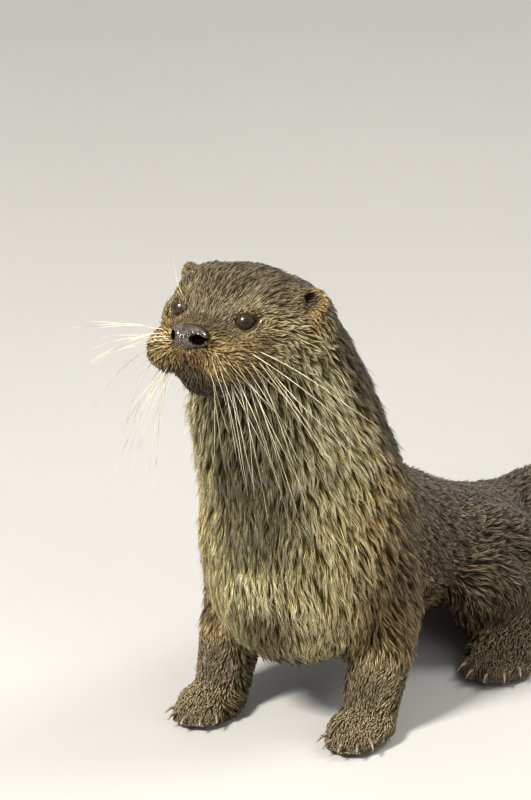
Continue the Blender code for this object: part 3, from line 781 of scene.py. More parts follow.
@dataclass
class Skin:
    """One skin over all the flesh, with the lids and lips worked in."""

    axes: HeadAxes
    plan: CoatPlan
    sockets: dict[Side, Socket]
    weld: float = 0.01 * MM
    cell: float = 1.9 * MM
    smoothing: int = 22
    pulls: Span = (0.50, -0.52)  # each round of smoothing shrinks the form, then swells it
    sole_height: float = 0.9 * MM
    sole_tilt: float = -0.5
    lid_rings: int = 26
    lid_points: int = 72
    lid_reach: float = 11.5 * MM
    lid_overlap: Span = (2.2 * MM, -2.0 * MM)  # how much skin stays under the lids, and its level
    lid_inner: float = 0.88  # where the lids start, as a share of the opening
    lid_gather: float = 1.7  # how much closer the rings lie at the opening
    lid_tuck: float = 0.5 * MM
    lid_tucked: float = 0.985
    lid_merge: Span = (0.9 * MM, 6.4 * MM)  # where the lids start to join the skin, and end
    lid_sink: float = 0.45 * MM
    lid_sunk_from: float = 0.86
    lid_above: float = 20 * MM
    lip_depth: float = 1.7 * MM
    lip_half_width: float = 1.6 * MM
    philtrum_depth: float = 0.9 * MM
    philtrum_half_width: float = 1.1 * MM
    nose_depth: float = 5.0 * MM
    nose_seat: Span = (0.84, 1.0)
    ear_depth: float = 3.4 * MM
    ear_hollow: float = 4.4 * MM
    bare_lids: Span = (0.35 * MM, 0.9 * MM)  # where bare skin starts to give way, and ends
    bare_lips: Span = (0.8 * MM, 2.0 * MM)
    bare_philtrum: Span = (1.3 * MM, 2.2 * MM)
    bare_nose: Span = (1.0, 1.1)
    points: Array = field(init=False)
    triangles: Array = field(init=False)

    def build(self) -> tuple[Object, Surface]:
        """Make the skin and the surface that the coat grows on.

        Returns:
            The skin piece and its surface.
        """
        self._fuse()
        self._relax()
        self._sink()
        self._cup_ears()
        self._seat_nose()
        self._press_lips()
        self._fit_lids()
        skin = mesh_object("skin", self.points, self.triangles)
        self._mark(skin.data)
        return skin, Surface(self.points, self.triangles)

    def _fuse(self) -> None:
        """Fuse the solids of flesh, eyes and nose into one closed mesh."""
        points, triangles, _ = gathered(FLESH_NODES + ("eye_left", "eye_right", "nose_pad"))
        draft = mesh_object("flesh_draft", points, triangles)
        draft.modifiers.new("weld", "WELD").merge_threshold = self.weld
        fuse = draft.modifiers.new("fuse", "REMESH")
        fuse.mode = "VOXEL"
        fuse.voxel_size = self.cell
        draft.modifiers.new("triangles", "TRIANGULATE")
        graph = bpy.context.evaluated_depsgraph_get()
        points, triangles = mesh_arrays(bpy.data.meshes.new_from_object(draft.evaluated_get(graph)))
        bpy.data.objects.remove(draft, do_unlink=True)
        label = np.arange(len(points))
        edges = edges_of(triangles)
        before = None
        while before is None or not np.array_equal(before, label):
            before = label.copy()
            low = np.minimum(label[edges[:, 0]], label[edges[:, 1]])
            np.minimum.at(label, edges[:, 0], low)
            np.minimum.at(label, edges[:, 1], low)
            label = label[label]
        names, counts = np.unique(label, return_counts=True)
        kept = label == names[np.argmax(counts)]  # the outermost shell
        self.points = points[kept]
        self.triangles = (np.cumsum(kept) - 1)[triangles[kept[triangles].all(1)]]

    def _relax(self) -> None:
        """Smooth out the facets without shrinking the form."""
        edges = np.unique(np.sort(edges_of(self.triangles), axis=1), axis=0)
        start, end = np.concatenate([edges, edges[:, ::-1]]).T
        count = len(self.points)
        degree = np.bincount(start, minlength=count)[:, None]
        for pull in self.pulls * self.smoothing:
            total = [np.bincount(start, column[end], count) for column in self.points.T]
            self.points = self.points + (np.stack(total, 1) / degree - self.points) * pull

    def _sink(self) -> None:
        """Sink the skin below the tips of the coat, but not the soles."""
        normals = Surface(self.points, self.triangles).normals
        down = (self.points[:, 2] < self.sole_height) & (normals[:, 2] < self.sole_tilt)
        self.points = self.points - normals * self.plan.read(self.points)[0]["depth"][:, None]
        self.points[down, 2] = FLOOR_CLEARANCE
        self.points[:, 2] = np.maximum(self.points[:, 2], FLOOR_CLEARANCE)

    def _cup_ears(self) -> None:
        """Press the ears in where they are hollow."""
        press = self.ear_depth * bell(self.axes.ear_gap(self.points), self.ear_hollow)
        local = self.axes.local(self.points)
        local[:, 1] -= np.sign(local[:, 1]) * press
        local[:, 0] -= press
        self.points = self.axes.world(local)

    def _seat_nose(self) -> None:
        """Press a seat for the nose pad into the skin."""
        share = self.axes.nose_share(self.points)
        near = np.flatnonzero(share < 1.0)
        press = self.nose_depth * (1.0 - eased(share[near], *self.nose_seat))
        self.points[near] -= self.axes.ahead * press[:, None]

    def _press_lips(self) -> None:
        """Press in the mouth's line and the groove under the nose."""
        press = np.zeros(len(self.points))
        for route, depth, half in ((LIPS, self.lip_depth, self.lip_half_width),
                                   (PHILTRUM, self.philtrum_depth, self.philtrum_half_width)):
            press += depth * np.exp(-0.5 * (self.axes.line_gap(self.points, route) / half) ** 2)
        self.points = self.points - Surface(self.points, self.triangles).normals * press[:, None]

    def _fit_lids(self) -> None:
        """Replace the skin round each eye with finely made lids."""
        base = BVHTree.FromPolygons(self.points.tolist(), self.triangles.tolist())
        overlap, level = self.lid_overlap
        for socket in self.sockets.values():
            distance, _, height = socket.polar(self.points)
            covered = (distance < self.lid_reach - overlap) & (height > level)
            rings = grid_triangles(self.lid_rings, self.lid_points, len(self.points))
            if socket.side is Side.LEFT:
                rings = rings[:, ::-1]
            self.points = np.concatenate([self.points, self._lids(socket, base)])
            self.triangles = np.concatenate([self.triangles[~covered[self.triangles].all(1)], rings])

    def _lids(self, socket: Socket, base: BVHTree) -> Array:
        """Make the rings of one pair of lids, from inside the opening outwards.

        Args:
            socket: The eye's socket.
            base: The skin without lids.

        Returns:
            Rows of places, ring after ring.
        """
        angle = rounds(self.lid_points)
        edge = socket.opening(angle)
        inner = edge * self.lid_inner
        across = circled(angle, socket.back, socket.up)
        start, end = self.lid_merge
        places = []
        for ring in range(self.lid_rings):
            part = ring / (self.lid_rings - 1)
            distance = inner + (self.lid_reach - inner) * part ** self.lid_gather
            height = socket.lid_height(distance, angle)
            height -= self.lid_tuck * (distance < edge * self.lid_tucked)
            level = socket.centre + across * distance[:, None]
            floor = []
            for spot in level + socket.out * self.lid_above:
                hit = base.ray_cast(Vector(spot), Vector(-socket.out))[0]
                floor.append(0.0 if hit is None else (np.array(hit) - socket.centre) @ socket.out)
            share = eased(distance - edge, start, self.lid_reach - end)
            height = height * (1.0 - share) + np.array(floor) * share
            height -= self.lid_sink * eased(np.full_like(height, part), self.lid_sunk_from, 1.0)
            places.append(level + socket.out * height[:, None])
        return np.concatenate(places)

    def _mark(self, mesh: Mesh) -> None:
        """Write the markings with their painted shade, and the bare skin of lids, lips and nose.

        Args:
            mesh: The skin's mesh.
        """
        values, _ = self.plan.read(self.points)
        for name in ("pale", "warm", "shade"):
            write_attribute(mesh, name, values[name])
        bare = 1.0 - eased(self.axes.nose_share(self.points), *self.bare_nose)
        for socket in self.sockets.values():
            distance, angle, height = socket.polar(self.points)
            rim = 1.0 - eased(distance - socket.opening(angle), *self.bare_lids)
            bare = np.maximum(bare, rim * (height > 0.0))
        for route, span in ((LIPS, self.bare_lips), (PHILTRUM, self.bare_philtrum)):
            bare = np.maximum(bare, 1.0 - eased(self.axes.line_gap(self.points, route), *span))
        write_attribute(mesh, "bare", bare)


# --- The coat ---
class Drift(Enum):
    """The slow changes over the coat: the wavelength and the waves of each."""

    BROAD_TURN = (22 * MM, 1)
    FINE_TURN = (7 * MM, 2)
    SWING = (9 * MM, 3)
    LENGTH = (30 * MM, 5)

    def over(self, places: Array) -> Array:
        """Return the change at some places, mostly between -1 and 1."""
        return ripple(places, *self.value)


@dataclass
class Locks:
    """The damp locks that neighbouring tufts are drawn into."""

    middle: Array
    tip: Array
    heading: Array
    edge: Array
    lift: Array
    tone: Array


@dataclass
class Coat:
    """Solid tufts over the whole skin, each with three sides and one bend."""

    axes: HeadAxes
    plan: CoatPlan
    surface: Surface
    sockets: dict[Side, Socket]
    seed: int = 20
    cover: float = 4.2  # how many tufts lie over each other
    bend_at: float = 0.5
    bend_rise: float = 0.66  # how high a tuft's bend stands, as a share of its tip
    onward: float = 0.6  # how far a tuft's second half follows the lie at its bend
    root_sink: float = 0.3 * MM
    root_width: float = 0.65
    ridge: float = 0.42
    roll: float = 0.45
    wave: float = 0.18  # how far a tuft swings out and back, in radians
    broad_turn: float = 0.13  # how far the coat's lie wanders, in radians
    fine_turn: float = 0.10
    lengths: Span = (0.80, 1.12)
    length_drift: float = 0.14
    widths: Span = (0.8, 1.2)
    pale_spread: float = 0.07
    shades: Span = (0.70, 1.25)
    # Painted shade in the gaps between locks: tufts at a lock's edge are darker, those in its middle
    # lighter.
    edge_shade: Span = (1.25, 0.70)  # shade in a lock's middle, and its loss at the edge
    edge_drop: float = 0.35
    draw_middle: float = 0.45  # how far a tuft's bend is drawn to its lock
    draw_tip: Span = (0.35, 0.97)
    draw_along: float = 0.35  # how much less it is drawn along the lock than across it
    stray: float = 0.07  # share of tufts that stay out of the locks and stand up
    stray_draw: float = 0.3
    proud: float = 0.08  # share of locks that stand well out
    proud_rise: float = 1.5
    stretch: float = 3.0  # how much longer than wide a lock's patch of skin is
    neighbours: int = 7
    lock_edge: float = 1.2
    lock_turn: float = 0.18
    lock_lengths: Span = (0.90, 1.25)
    lock_swing: float = 0.4
    lock_lifts: Span = (0.40, 1.15)
    lock_tones: Point = (0.10, 0.06, 0.24)  # spreads of pale, warm and shade
    patch: float = 0.003  # size of each tuft's place on the OFBake map
    margin: float = 0.006
    skull_depth: float = 20 * MM  # the head is unrolled about a line this far under the ears
    face_from: float = 16 * MM
    most: int = 21500  # tufts in one piece
    sole_height: float = 1.2 * MM
    sole_tilt: float = -0.6
    lid_clear: float = 0.45 * MM
    lash_clear: float = 0.15 * MM
    philtrum_clear: float = 1.5 * MM
    ear_clear: float = 2.7 * MM
    nose_clear: Span = (0.94, 0.90)  # how far in over the nose roots and hair may be

    rng: Rng = field(init=False)
    roots: Array = field(init=False)
    normals: Array = field(init=False)
    flow: Array = field(init=False)  # which way each tuft leaves the skin
    values: dict[str, Array] = field(init=False)

    # The seven points of a tuft: three at its root, three at its bend and its tip.
    POINTS = 7
    ALONG = np.array([0.0, 0.0, 0.0, 0.5, 0.5, 0.5, 1.0])
    ACROSS = np.array([-1.0, 1.0, 0.0, -1.0, 1.0, 0.0, 0.0])

    def build(self) -> list[Object]:
        """Grow the coat.

        Returns:
            One object for each piece of the coat.
        """
        self.rng = rng = np.random.default_rng(self.seed)
        centres = self.surface.points[self.surface.triangles].mean(1)
        spacing = self._spacing(self.plan.read(centres)[0])
        spacing[self._bald(centres, self.surface.face_normals)] = 1.0
        self.roots, self.normals, owner = self.surface.scatter(spacing, rng)
        roots, total = self.roots, len(self.roots)
        values, lies = self.plan.read(roots)
        self.values = values
        self.flow = self._combed(lies)
        length = values["length"] * rng.uniform(*self.lengths, total)
        length *= 1.0 + self.length_drift * Drift.LENGTH.over(roots)
        swing = self.wave * (Drift.SWING.over(roots) + rng.normal(0.0, 0.5, total))
        middle, middle_normal, tip, tip_normal = self._laid(roots, self.flow, length, swing)
        locks = self._locks()
        stray = rng.random(total) < self.stray
        loose = np.where(stray, self.stray_draw, 1.0)
        middle = self._drawn(middle, locks.middle, locks.heading, self.draw_middle * loose)
        behind = ((locks.tip - tip) * locks.heading).sum(1) / values["length"]
        taper = np.clip(self.draw_tip[1] * (1.0 - behind), *self.draw_tip)
        tip = self._drawn(tip, locks.tip, locks.heading, taper * loose)
        rise = values["depth"] * locks.lift * (1.0 - self.edge_drop * locks.edge)
        rise *= np.where(stray, self.proud_rise, 1.0)
        middle += middle_normal * (rise * self.bend_rise)[:, None]
        tip += tip_normal * rise[:, None]
        start = roots - self.normals * self.root_sink
        # The shade mark carries the plan's markings and painted shade, each lock's tone, and painted shade
        # in the gaps between locks.
        lit, loss = self.edge_shade
        tone = {
            "pale": values["pale"] + locks.tone[:, 0] + rng.normal(0.0, self.pale_spread, total),
            "warm": values["warm"] + locks.tone[:, 1],
            "shade": values["shade"] * (1.0 + locks.tone[:, 2]) * (lit - loss * locks.edge)
            * rng.uniform(*self.shades, total),
        }
        shape = self._tufts(start, middle, tip, middle_normal)
        kept = ~self._in_the_way(start, middle, tip)
        groups = self._groups(centres[owner])
        made = []
        for name in sorted(set(groups)):
            chosen = np.flatnonzero((groups == name) & kept)
            for part, some in enumerate(np.array_split(chosen, math.ceil(len(chosen) / self.most)), 1):
                label = name if len(chosen) <= self.most else f"{name}_{part}"
                marks_and_shade = {key: value[some] for key, value in tone.items()}
                made.append(self._piece(label, shape[some], roots[some], name, marks_and_shade))
                LOG.info("%s: %d tufts", label, len(some))
        return made

    def _spacing(self, values: dict[str, Array]) -> Array:
        """Return how far apart the tufts stand, from the plan's values."""
        return np.sqrt(values["width"] * values["length"] / self.cover)

    def _bald(self, places: Array, normals: Array) -> Array:
        """Tell where no hair grows: lids, nose and soles.

        Args:
            places: Rows of places on the skin.
            normals: The normals there.

        Returns:
            True where the skin is bare.
        """
        bald = (places[:, 2] < self.sole_height) & (normals[:, 2] < self.sole_tilt)
        for socket in self.sockets.values():
            bald |= socket.covers(places, self.lid_clear)
        bald |= self.axes.line_gap(places, PHILTRUM) < self.philtrum_clear
        bald |= self.axes.ear_gap(places) < self.ear_clear
        return bald | (self.axes.nose_share(places) < self.nose_clear[0])

    def _combed(self, lies: Array) -> Array:
        """Tell which way each tuft leaves the skin.

        Args:
            lies: The planned lie of each tuft.

        Returns:
            Directions in the skin's plane.
        """
        turn = self.broad_turn * Drift.BROAD_TURN.over(self.roots)
        turn += self.fine_turn * Drift.FINE_TURN.over(self.roots)
        turn += self.rng.normal(0.0, self.fine_turn, len(self.roots))
        return turned(flattened(lies, self.normals), self.normals, turn)

    def _laid(self, roots: Array, flow: Array, length: Array,
              swing: Array) -> tuple[Array, Array, Array, Array]:
        """Lay tufts along the skin.

        Args:
            roots: Where they start.
            flow: Which way they start.
            length: How long they are.
            swing: How far each swings out and back, in radians.

        Returns:
            Bend places and normals, tip places and normals.
        """
        half = (length * self.bend_at)[:, None]
        normals = self.surface.lay(roots)[1]
        middle, middle_normal = self.surface.lay(roots + turned(flow, normals, swing) * half)
        onward = flattened(self.plan.read(middle)[1], middle_normal)
        onward = unit(onward * self.onward + flow * (1.0 - self.onward))
        onward = turned(onward, middle_normal, -swing)
        tip, tip_normal = self.surface.lay(middle + onward * (length[:, None] - half))
        return middle, middle_normal, tip, tip_normal

    def _locks(self) -> Locks:
        """Gather the tufts into locks.

        Returns:
            Each tuft's lock.
        """
        rng, roots, values = self.rng, self.roots, self.values
        share = (self._spacing(values) / values["lock"]) ** 2
        seeds = np.flatnonzero(rng.random(len(roots)) < share)
        total, ways = len(seeds), self.flow[seeds]
        owner = self._owners(roots[seeds], ways)
        count = np.bincount(owner, minlength=total)[:, None]
        centre = np.stack([np.bincount(owner, column, total) for column in roots.T], 1)
        centre = np.where(count > 0, centre / np.maximum(count, 1), roots[seeds])
        owner = self._owners(centre, ways)
        line = ways[owner]
        offset = roots - centre[owner]
        offset -= (offset * line).sum(1, keepdims=True) * line
        half = values["lock"] / (2.0 * math.sqrt(self.stretch))
        edge = np.minimum(np.linalg.norm(offset, axis=1) / half, self.lock_edge)
        heading = turned(ways, self.normals[seeds], rng.normal(0.0, self.lock_turn, total))
        length = values["length"][seeds] * rng.uniform(*self.lock_lengths, total)
        swing = self.wave * (Drift.SWING.over(centre) + rng.normal(0.0, self.lock_swing, total))
        middle, _, tip, _ = self._laid(centre, heading, length, swing)
        lift = rng.uniform(*self.lock_lifts, total)
        lift *= np.where(rng.random(total) < self.proud, self.proud_rise, 1.0)
        tone = np.stack([rng.normal(0.0, spread, total) for spread in self.lock_tones], 1)
        return Locks(middle[owner], tip[owner], unit(tip - middle)[owner], edge, lift[owner], tone[owner])

    def _drawn(self, places: Array, goals: Array, headings: Array, share: Array) -> Array:
        """Draw places sideways to the lines of their locks, and a little along them.

        Args:
            places: Rows of places.
            goals: The place on its lock that each is drawn to.
            headings: Which way the locks point there.
            share: How far each is drawn, from 0 to 1.

        Returns:
            Rows of new places.
        """
        offset = goals - places
        ahead = (offset * headings).sum(1, keepdims=True) * headings
        return places + (offset - ahead) * share[:, None] + ahead * (share * self.draw_along)[:, None]

    def _owners(self, centres: Array, headings: Array) -> Array:
        """Give each tuft to a near lock, sooner to one that lies ahead of it or behind it.

        Args:
            centres: The middle of each lock's patch of skin.
            headings: Which way each lock lies.

        Returns:
            The index of each tuft's lock.
        """
        tree = kdtree.KDTree(len(centres))
        for index, centre in enumerate(centres.tolist()):
            tree.insert(centre, index)
        tree.balance()
        near = np.array([[hit[1] for hit in tree.find_n(root, self.neighbours)]
                         for root in self.roots.tolist()])
        offset = self.roots[:, None] - centres[near]
        along = (offset * headings[near]).sum(-1)
        square = (offset ** 2).sum(-1) - along ** 2 * (1.0 - self.stretch ** -2)
        return near[np.arange(len(near)), square.argmin(1)]

    def _tufts(self, start: Array, middle: Array, tip: Array, normal: Array) -> Array:
        """Make the seven points of each tuft.

        Args:
            start: Roots, a little under the skin.
            middle: Places of the bends.
            tip: Places of the tips.
            normal: The skin's normals at the bends.

        Returns:
            Places with the shape (tufts, 7, 3).
        """
        along = unit(tip - start)
        across = unit(np.cross(along, normal))
        over = np.cross(across, along)
        roll = self.rng.normal(0.0, self.roll, len(start))[:, None]
        side = across * np.cos(roll) + over * np.sin(roll)
        top = over * np.cos(roll) - across * np.sin(roll)
        full = (self.values["width"] * self.rng.uniform(*self.widths, len(start)))[:, None]
        points = np.empty((len(start), self.POINTS, 3))
        for base, spot, share in ((0, start, self.root_width), (3, middle, 1.0)):
            half = side * full * (share / 2)
            points[:, base] = spot - half
            points[:, base + 1] = spot + half
            points[:, base + 2] = spot + top * full * (self.ridge * share)
        points[:, -1] = tip
        points[:, :, 2] = np.maximum(points[:, :, 2], FLOOR_CLEARANCE)
        return points

    def _in_the_way(self, start: Array, middle: Array, tip: Array) -> Array:
        """Tell which tufts would cover an eye, the nose or the hollow of an ear.

        Args:
            start: Roots of the tufts.
            middle: Places of the bends.
            tip: Places of the tips.

        Returns:
            True for each tuft to leave out.
        """
        blocked = np.zeros(len(tip), dtype=bool)
        for places in ((start + middle) / 2, middle, (middle + tip) / 2, tip):
            for socket in self.sockets.values():
                blocked |= socket.covers(places, self.lash_clear)
            blocked |= self.axes.nose_share(places) < self.nose_clear[1]
            blocked |= self.axes.ear_gap(places) < self.ear_clear
        return blocked

    def _groups(self, places: Array) -> Array:
        """Name the coat piece of each tuft, after the solid that it grows on.

        Args:
            places: Rows of places on the skin.

        Returns:
            A name for each place.
        """
        points, triangles, owners = gathered(FLESH_NODES)
        tree = BVHTree.FromPolygons(points.tolist(), triangles.tolist())
        spots, index = np.unique(np.round(places, 7), axis=0, return_inverse=True)
        names = []
        for spot, (ahead, left, _) in zip(spots.tolist(), self.axes.local(spots)):
            name = FLESH_NODES[owners[tree.find_nearest(spot)[2]]]
            on_left = spot[0] > self.plan.middle
            if name.startswith(("head", "ear")):
                name, on_left = "face" if ahead > self.face_from else "crown", left > 0.0
            elif name.startswith("fore"):
                name = "foreleg"
            elif name.startswith(("hind", "rump")):
                name = "haunch"
            side = "left" if on_left else "right"
            names.append("coat_tail" if name.startswith("tail") else f"coat_{name}_{side}")
        return np.array(names)[index.ravel()]

    def _unwrapped(self, name: str, places: Array) -> Array:
        """Unroll places about their part's own length onto a flat map.

        Args:
            name: The coat piece's name.
            places: Rows of places on the skin.

        Returns:
            Map places between 0 and 1.
        """
        sign = -1.0 if name.endswith("right") else 1.0
        if "face" in name or "crown" in name:
            local = self.axes.local(places)
            aside, over, along = sign * local[:, 1], local[:, 2] + self.skull_depth, local[:, 0]
        else:
            aside = sign * (places[:, 0] - self.plan.middle)
            if "foreleg" in name or "tail" in name:
                aside = aside - aside.mean()
            over, along = places[:, 2] - places[:, 2].mean(), places[:, 1]
            if any(word in name for word in ("neck", "chest", "foreleg")):
                over, along = places[:, 1].mean() - places[:, 1], places[:, 2]
        flat = np.stack([np.arctan2(aside, over), along], 1)
        low, high = flat.min(0), flat.max(0)
        return self.margin + (flat - low) / (high - low) * (1.0 - 2.0 * self.margin)

    def _piece(self, label: str, shape: Array, roots: Array, name: str,
               tone: dict[str, Array]) -> Object:
        """Make one piece of the coat.

        Args:
            label: The piece's name.
            shape: The points of its tufts.
            roots: Where its tufts start.
            name: The part of the body that it covers.
            tone: The markings of each tuft, with their painted shade.

        Returns:
            The piece.
        """
        count = len(shape)
        one = np.array([face for a, b in ((0, 1), (1, 2), (2, 0))
                        for face in ((a, 3 + b, b), (a, 3 + a, 3 + b), (3 + a, 6, 3 + b))])
        triangles = (one[None] + self.POINTS * np.arange(count)[:, None, None]).reshape(-1, 3)
        piece = mesh_object(label, shape.reshape(-1, 3), triangles)
        for key, value in tone.items():
            write_attribute(piece.data, key, np.repeat(value, self.POINTS))
        write_attribute(piece.data, "along", np.tile(self.ALONG, count))
        spread = self.patch / 2 * np.stack([self.ACROSS, 2.0 * self.ALONG - 1.0], 1)
        flat = (self._unwrapped(name, roots)[:, None] + spread[None]).reshape(-1, 2)
        layer = piece.data.uv_layers.new(name="OFBake")
        layer.data.foreach_set("uv", flat[triangles.ravel()].astype(np.float32).ravel())
        return piece


# --- Eyes, nose, whiskers and claws ---
@dataclass
class Eyeball:
    """One glossy eyeball with a slightly domed front."""

    socket: Socket
    rings: int = 40
    around: int = 48
    open_end: float = 0.004  # how far the first and last rings stay from the poles
    dome: float = 0.025
    dome_spread: float = 0.6

    def build(self) -> Object:
        """Make the eyeball.

        Returns:
            The piece.
        """
        socket = self.socket
        tilt = np.linspace(self.open_end, math.pi - self.open_end, self.rings)
        radius = socket.radius * (1.0 + self.dome * bell(tilt, self.dome_spread))
        ring, turn = np.meshgrid(tilt, rounds(self.around), indexing="ij")
        way = circled(ring, socket.out, circled(turn, socket.back, socket.up))
        points = (socket.centre + way * radius[:, None, None]).reshape(-1, 3)
        ends = np.array([socket.centre + socket.out * radius[0], socket.centre - socket.out * radius[-1]])
        step = np.arange(self.around)
        after = (step + 1) % self.around
        last = (self.rings - 1) * self.around
        front = np.stack([after, step, np.full(self.around, len(points))], 1)
        rear = np.stack([last + step, last + after, np.full(self.around, len(points) + 1)], 1)
        triangles = np.concatenate([grid_triangles(self.rings, self.around), front, rear])
        if socket.side is Side.LEFT:
            triangles = triangles[:, ::-1]
        eye = mesh_object("eyeball_" + socket.side.word, np.concatenate([points, ends]), triangles)
        write_attribute(eye.data, "gaze", np.append(np.repeat(tilt, self.around), [0.0, math.pi]))
        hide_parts("eye_" + socket.side.word)
        return eye


@dataclass
class NosePad:
    """The bare nose pad with its two comma-shaped nostrils."""

    axes: HeadAxes
    rings: int = 64
    around: int = 120
    bulge: float = 7.6 * MM
    bulge_power: float = 2.4
    rim_sink: float = 0.4 * MM
    lean: float = math.radians(17.0)
    squareness: float = 2.5
    nostril_aside: float = 8.8 * MM
    nostril_drop: float = -0.4 * MM
    nostril_depth: float = 5.2 * MM
    nostril_half: Span = (3.0 * MM, 2.7 * MM)
    nostril_power: float = 3.0  # how flat the nostrils' floor is
    nostril_share: float = 1.1
    slit_share: float = 0.5
    slit_at: Span = (11.6 * MM, 0.9 * MM)  # aside, and above the nostril
    slit_half: Span = (2.2 * MM, 0.9 * MM)
    rim_height: float = 0.8 * MM
    rim_radius: float = 4.2 * MM
    rim_half: float = 1.1 * MM
    rim_oval: float = 1.15
    relief_ends: float = 0.80
    groove_depth: float = 1.0 * MM
    groove_half: float = 0.6 * MM
    groove_rise: Span = (-1.5 * MM, 2.0 * MM)

    # Where the outline swells or draws in: the angle in half turns, how much, and over what angle.
    BUMPS = ((0.5, -0.13, 0.22), (1.5, 0.22, 0.20), (1.25, -0.10, 0.25), (1.75, -0.10, 0.25))
    # The grain of the leather: height and wavelength in millimetres, and which waves.
    GRAIN = ((0.24, 1.7, 31), (0.14, 0.8, 32))

    def build(self) -> Object:
        """Make the nose pad.

        Returns:
            The piece.
        """
        part = np.linspace(0.0, 1.0, self.rings + 1)[1:]
        ring, turn = np.meshgrid(part, rounds(self.around), indexing="ij")
        outline = self._outline(turn)
        across = np.append(ring * outline * NOSE_HALF_WIDTH * np.cos(turn), 0.0)
        rise = np.append(ring * outline * NOSE_HALF_HEIGHT * np.sin(turn), 0.0)
        front = self._front(across, rise, np.append(ring, 0.0))
        lean, swing = math.cos(self.lean), math.sin(self.lean)
        leant = np.stack([front * lean - rise * swing, across, front * swing + rise * lean], 1)
        points = self.axes.world(leant + self.axes.local(centre_of("nose_pad")))
        step = np.arange(self.around)
        cap = np.stack([step, (step + 1) % self.around, np.full(self.around, len(points) - 1)], 1)
        triangles = np.concatenate([grid_triangles(self.rings, self.around)[:, ::-1], cap])
        pad = mesh_object("nose_leather", points, triangles)
        write_attribute(pad.data, "pit", self._pits(across, rise))
        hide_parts("nose_pad")
        return pad

    def _outline(self, turn: Array) -> Array:
        """Return the pad's outline.

        Args:
            turn: Angles round its middle.

        Returns:
            The distance from its middle at each angle, as a share of an oval's.
        """
        power = self.squareness
        outline = 1.0 / (np.abs(np.cos(turn)) ** power + np.abs(np.sin(turn)) ** power) ** (1 / power)
        for half_turns, height, spread in self.BUMPS:
            outline += height * bell(turn - half_turns * math.pi, spread)
        return outline

    def _pits(self, across: Array, rise: Array) -> Array:
        """Return how deep the nostrils and their slits are pressed in.

        Args:
            across: Places across the pad.
            rise: Places up it.

        Returns:
            Shares of the nostrils' depth.
        """
        aside, lift = np.abs(across) - self.nostril_aside, rise - self.nostril_drop
        away = np.hypot(aside / self.nostril_half[0], lift / self.nostril_half[1])
        hole = np.exp(-away ** self.nostril_power)
        slit = bell(np.abs(across) - self.slit_at[0], self.slit_half[0])
        slit *= bell(lift - self.slit_at[1], self.slit_half[1])
        return np.clip(self.nostril_share * hole + self.slit_share * slit, 0.0, 1.0)

    def _front(self, across: Array, rise: Array, ring: Array) -> Array:
        """Return how far ahead the pad stands.

        Args:
            across: Places across the pad.
            rise: Places up it.
            ring: How far out each place lies, 0 at the middle and 1 at the rim.

        Returns:
            Distances ahead of the pad's rim.
        """
        dome = self.bulge * (1.0 - ring ** self.bulge_power) - self.rim_sink
        lift = (rise - self.nostril_drop) * self.rim_oval
        from_hole = np.hypot(np.abs(across) - self.nostril_aside, lift)
        relief = self.rim_height * bell(from_hole - self.rim_radius, self.rim_half)
        relief -= self.groove_depth * bell(across, self.groove_half) * eased(-rise, *self.groove_rise)
        places = np.stack([across, rise, np.zeros(len(across))], 1)
        for height, wavelength, seed in self.GRAIN:
            relief += height * MM * ripple(places, wavelength * MM, seed)
        relief *= 1.0 - eased(ring, self.relief_ends, 1.0)
        return dome - self.nostril_depth * self._pits(across, rise) + relief


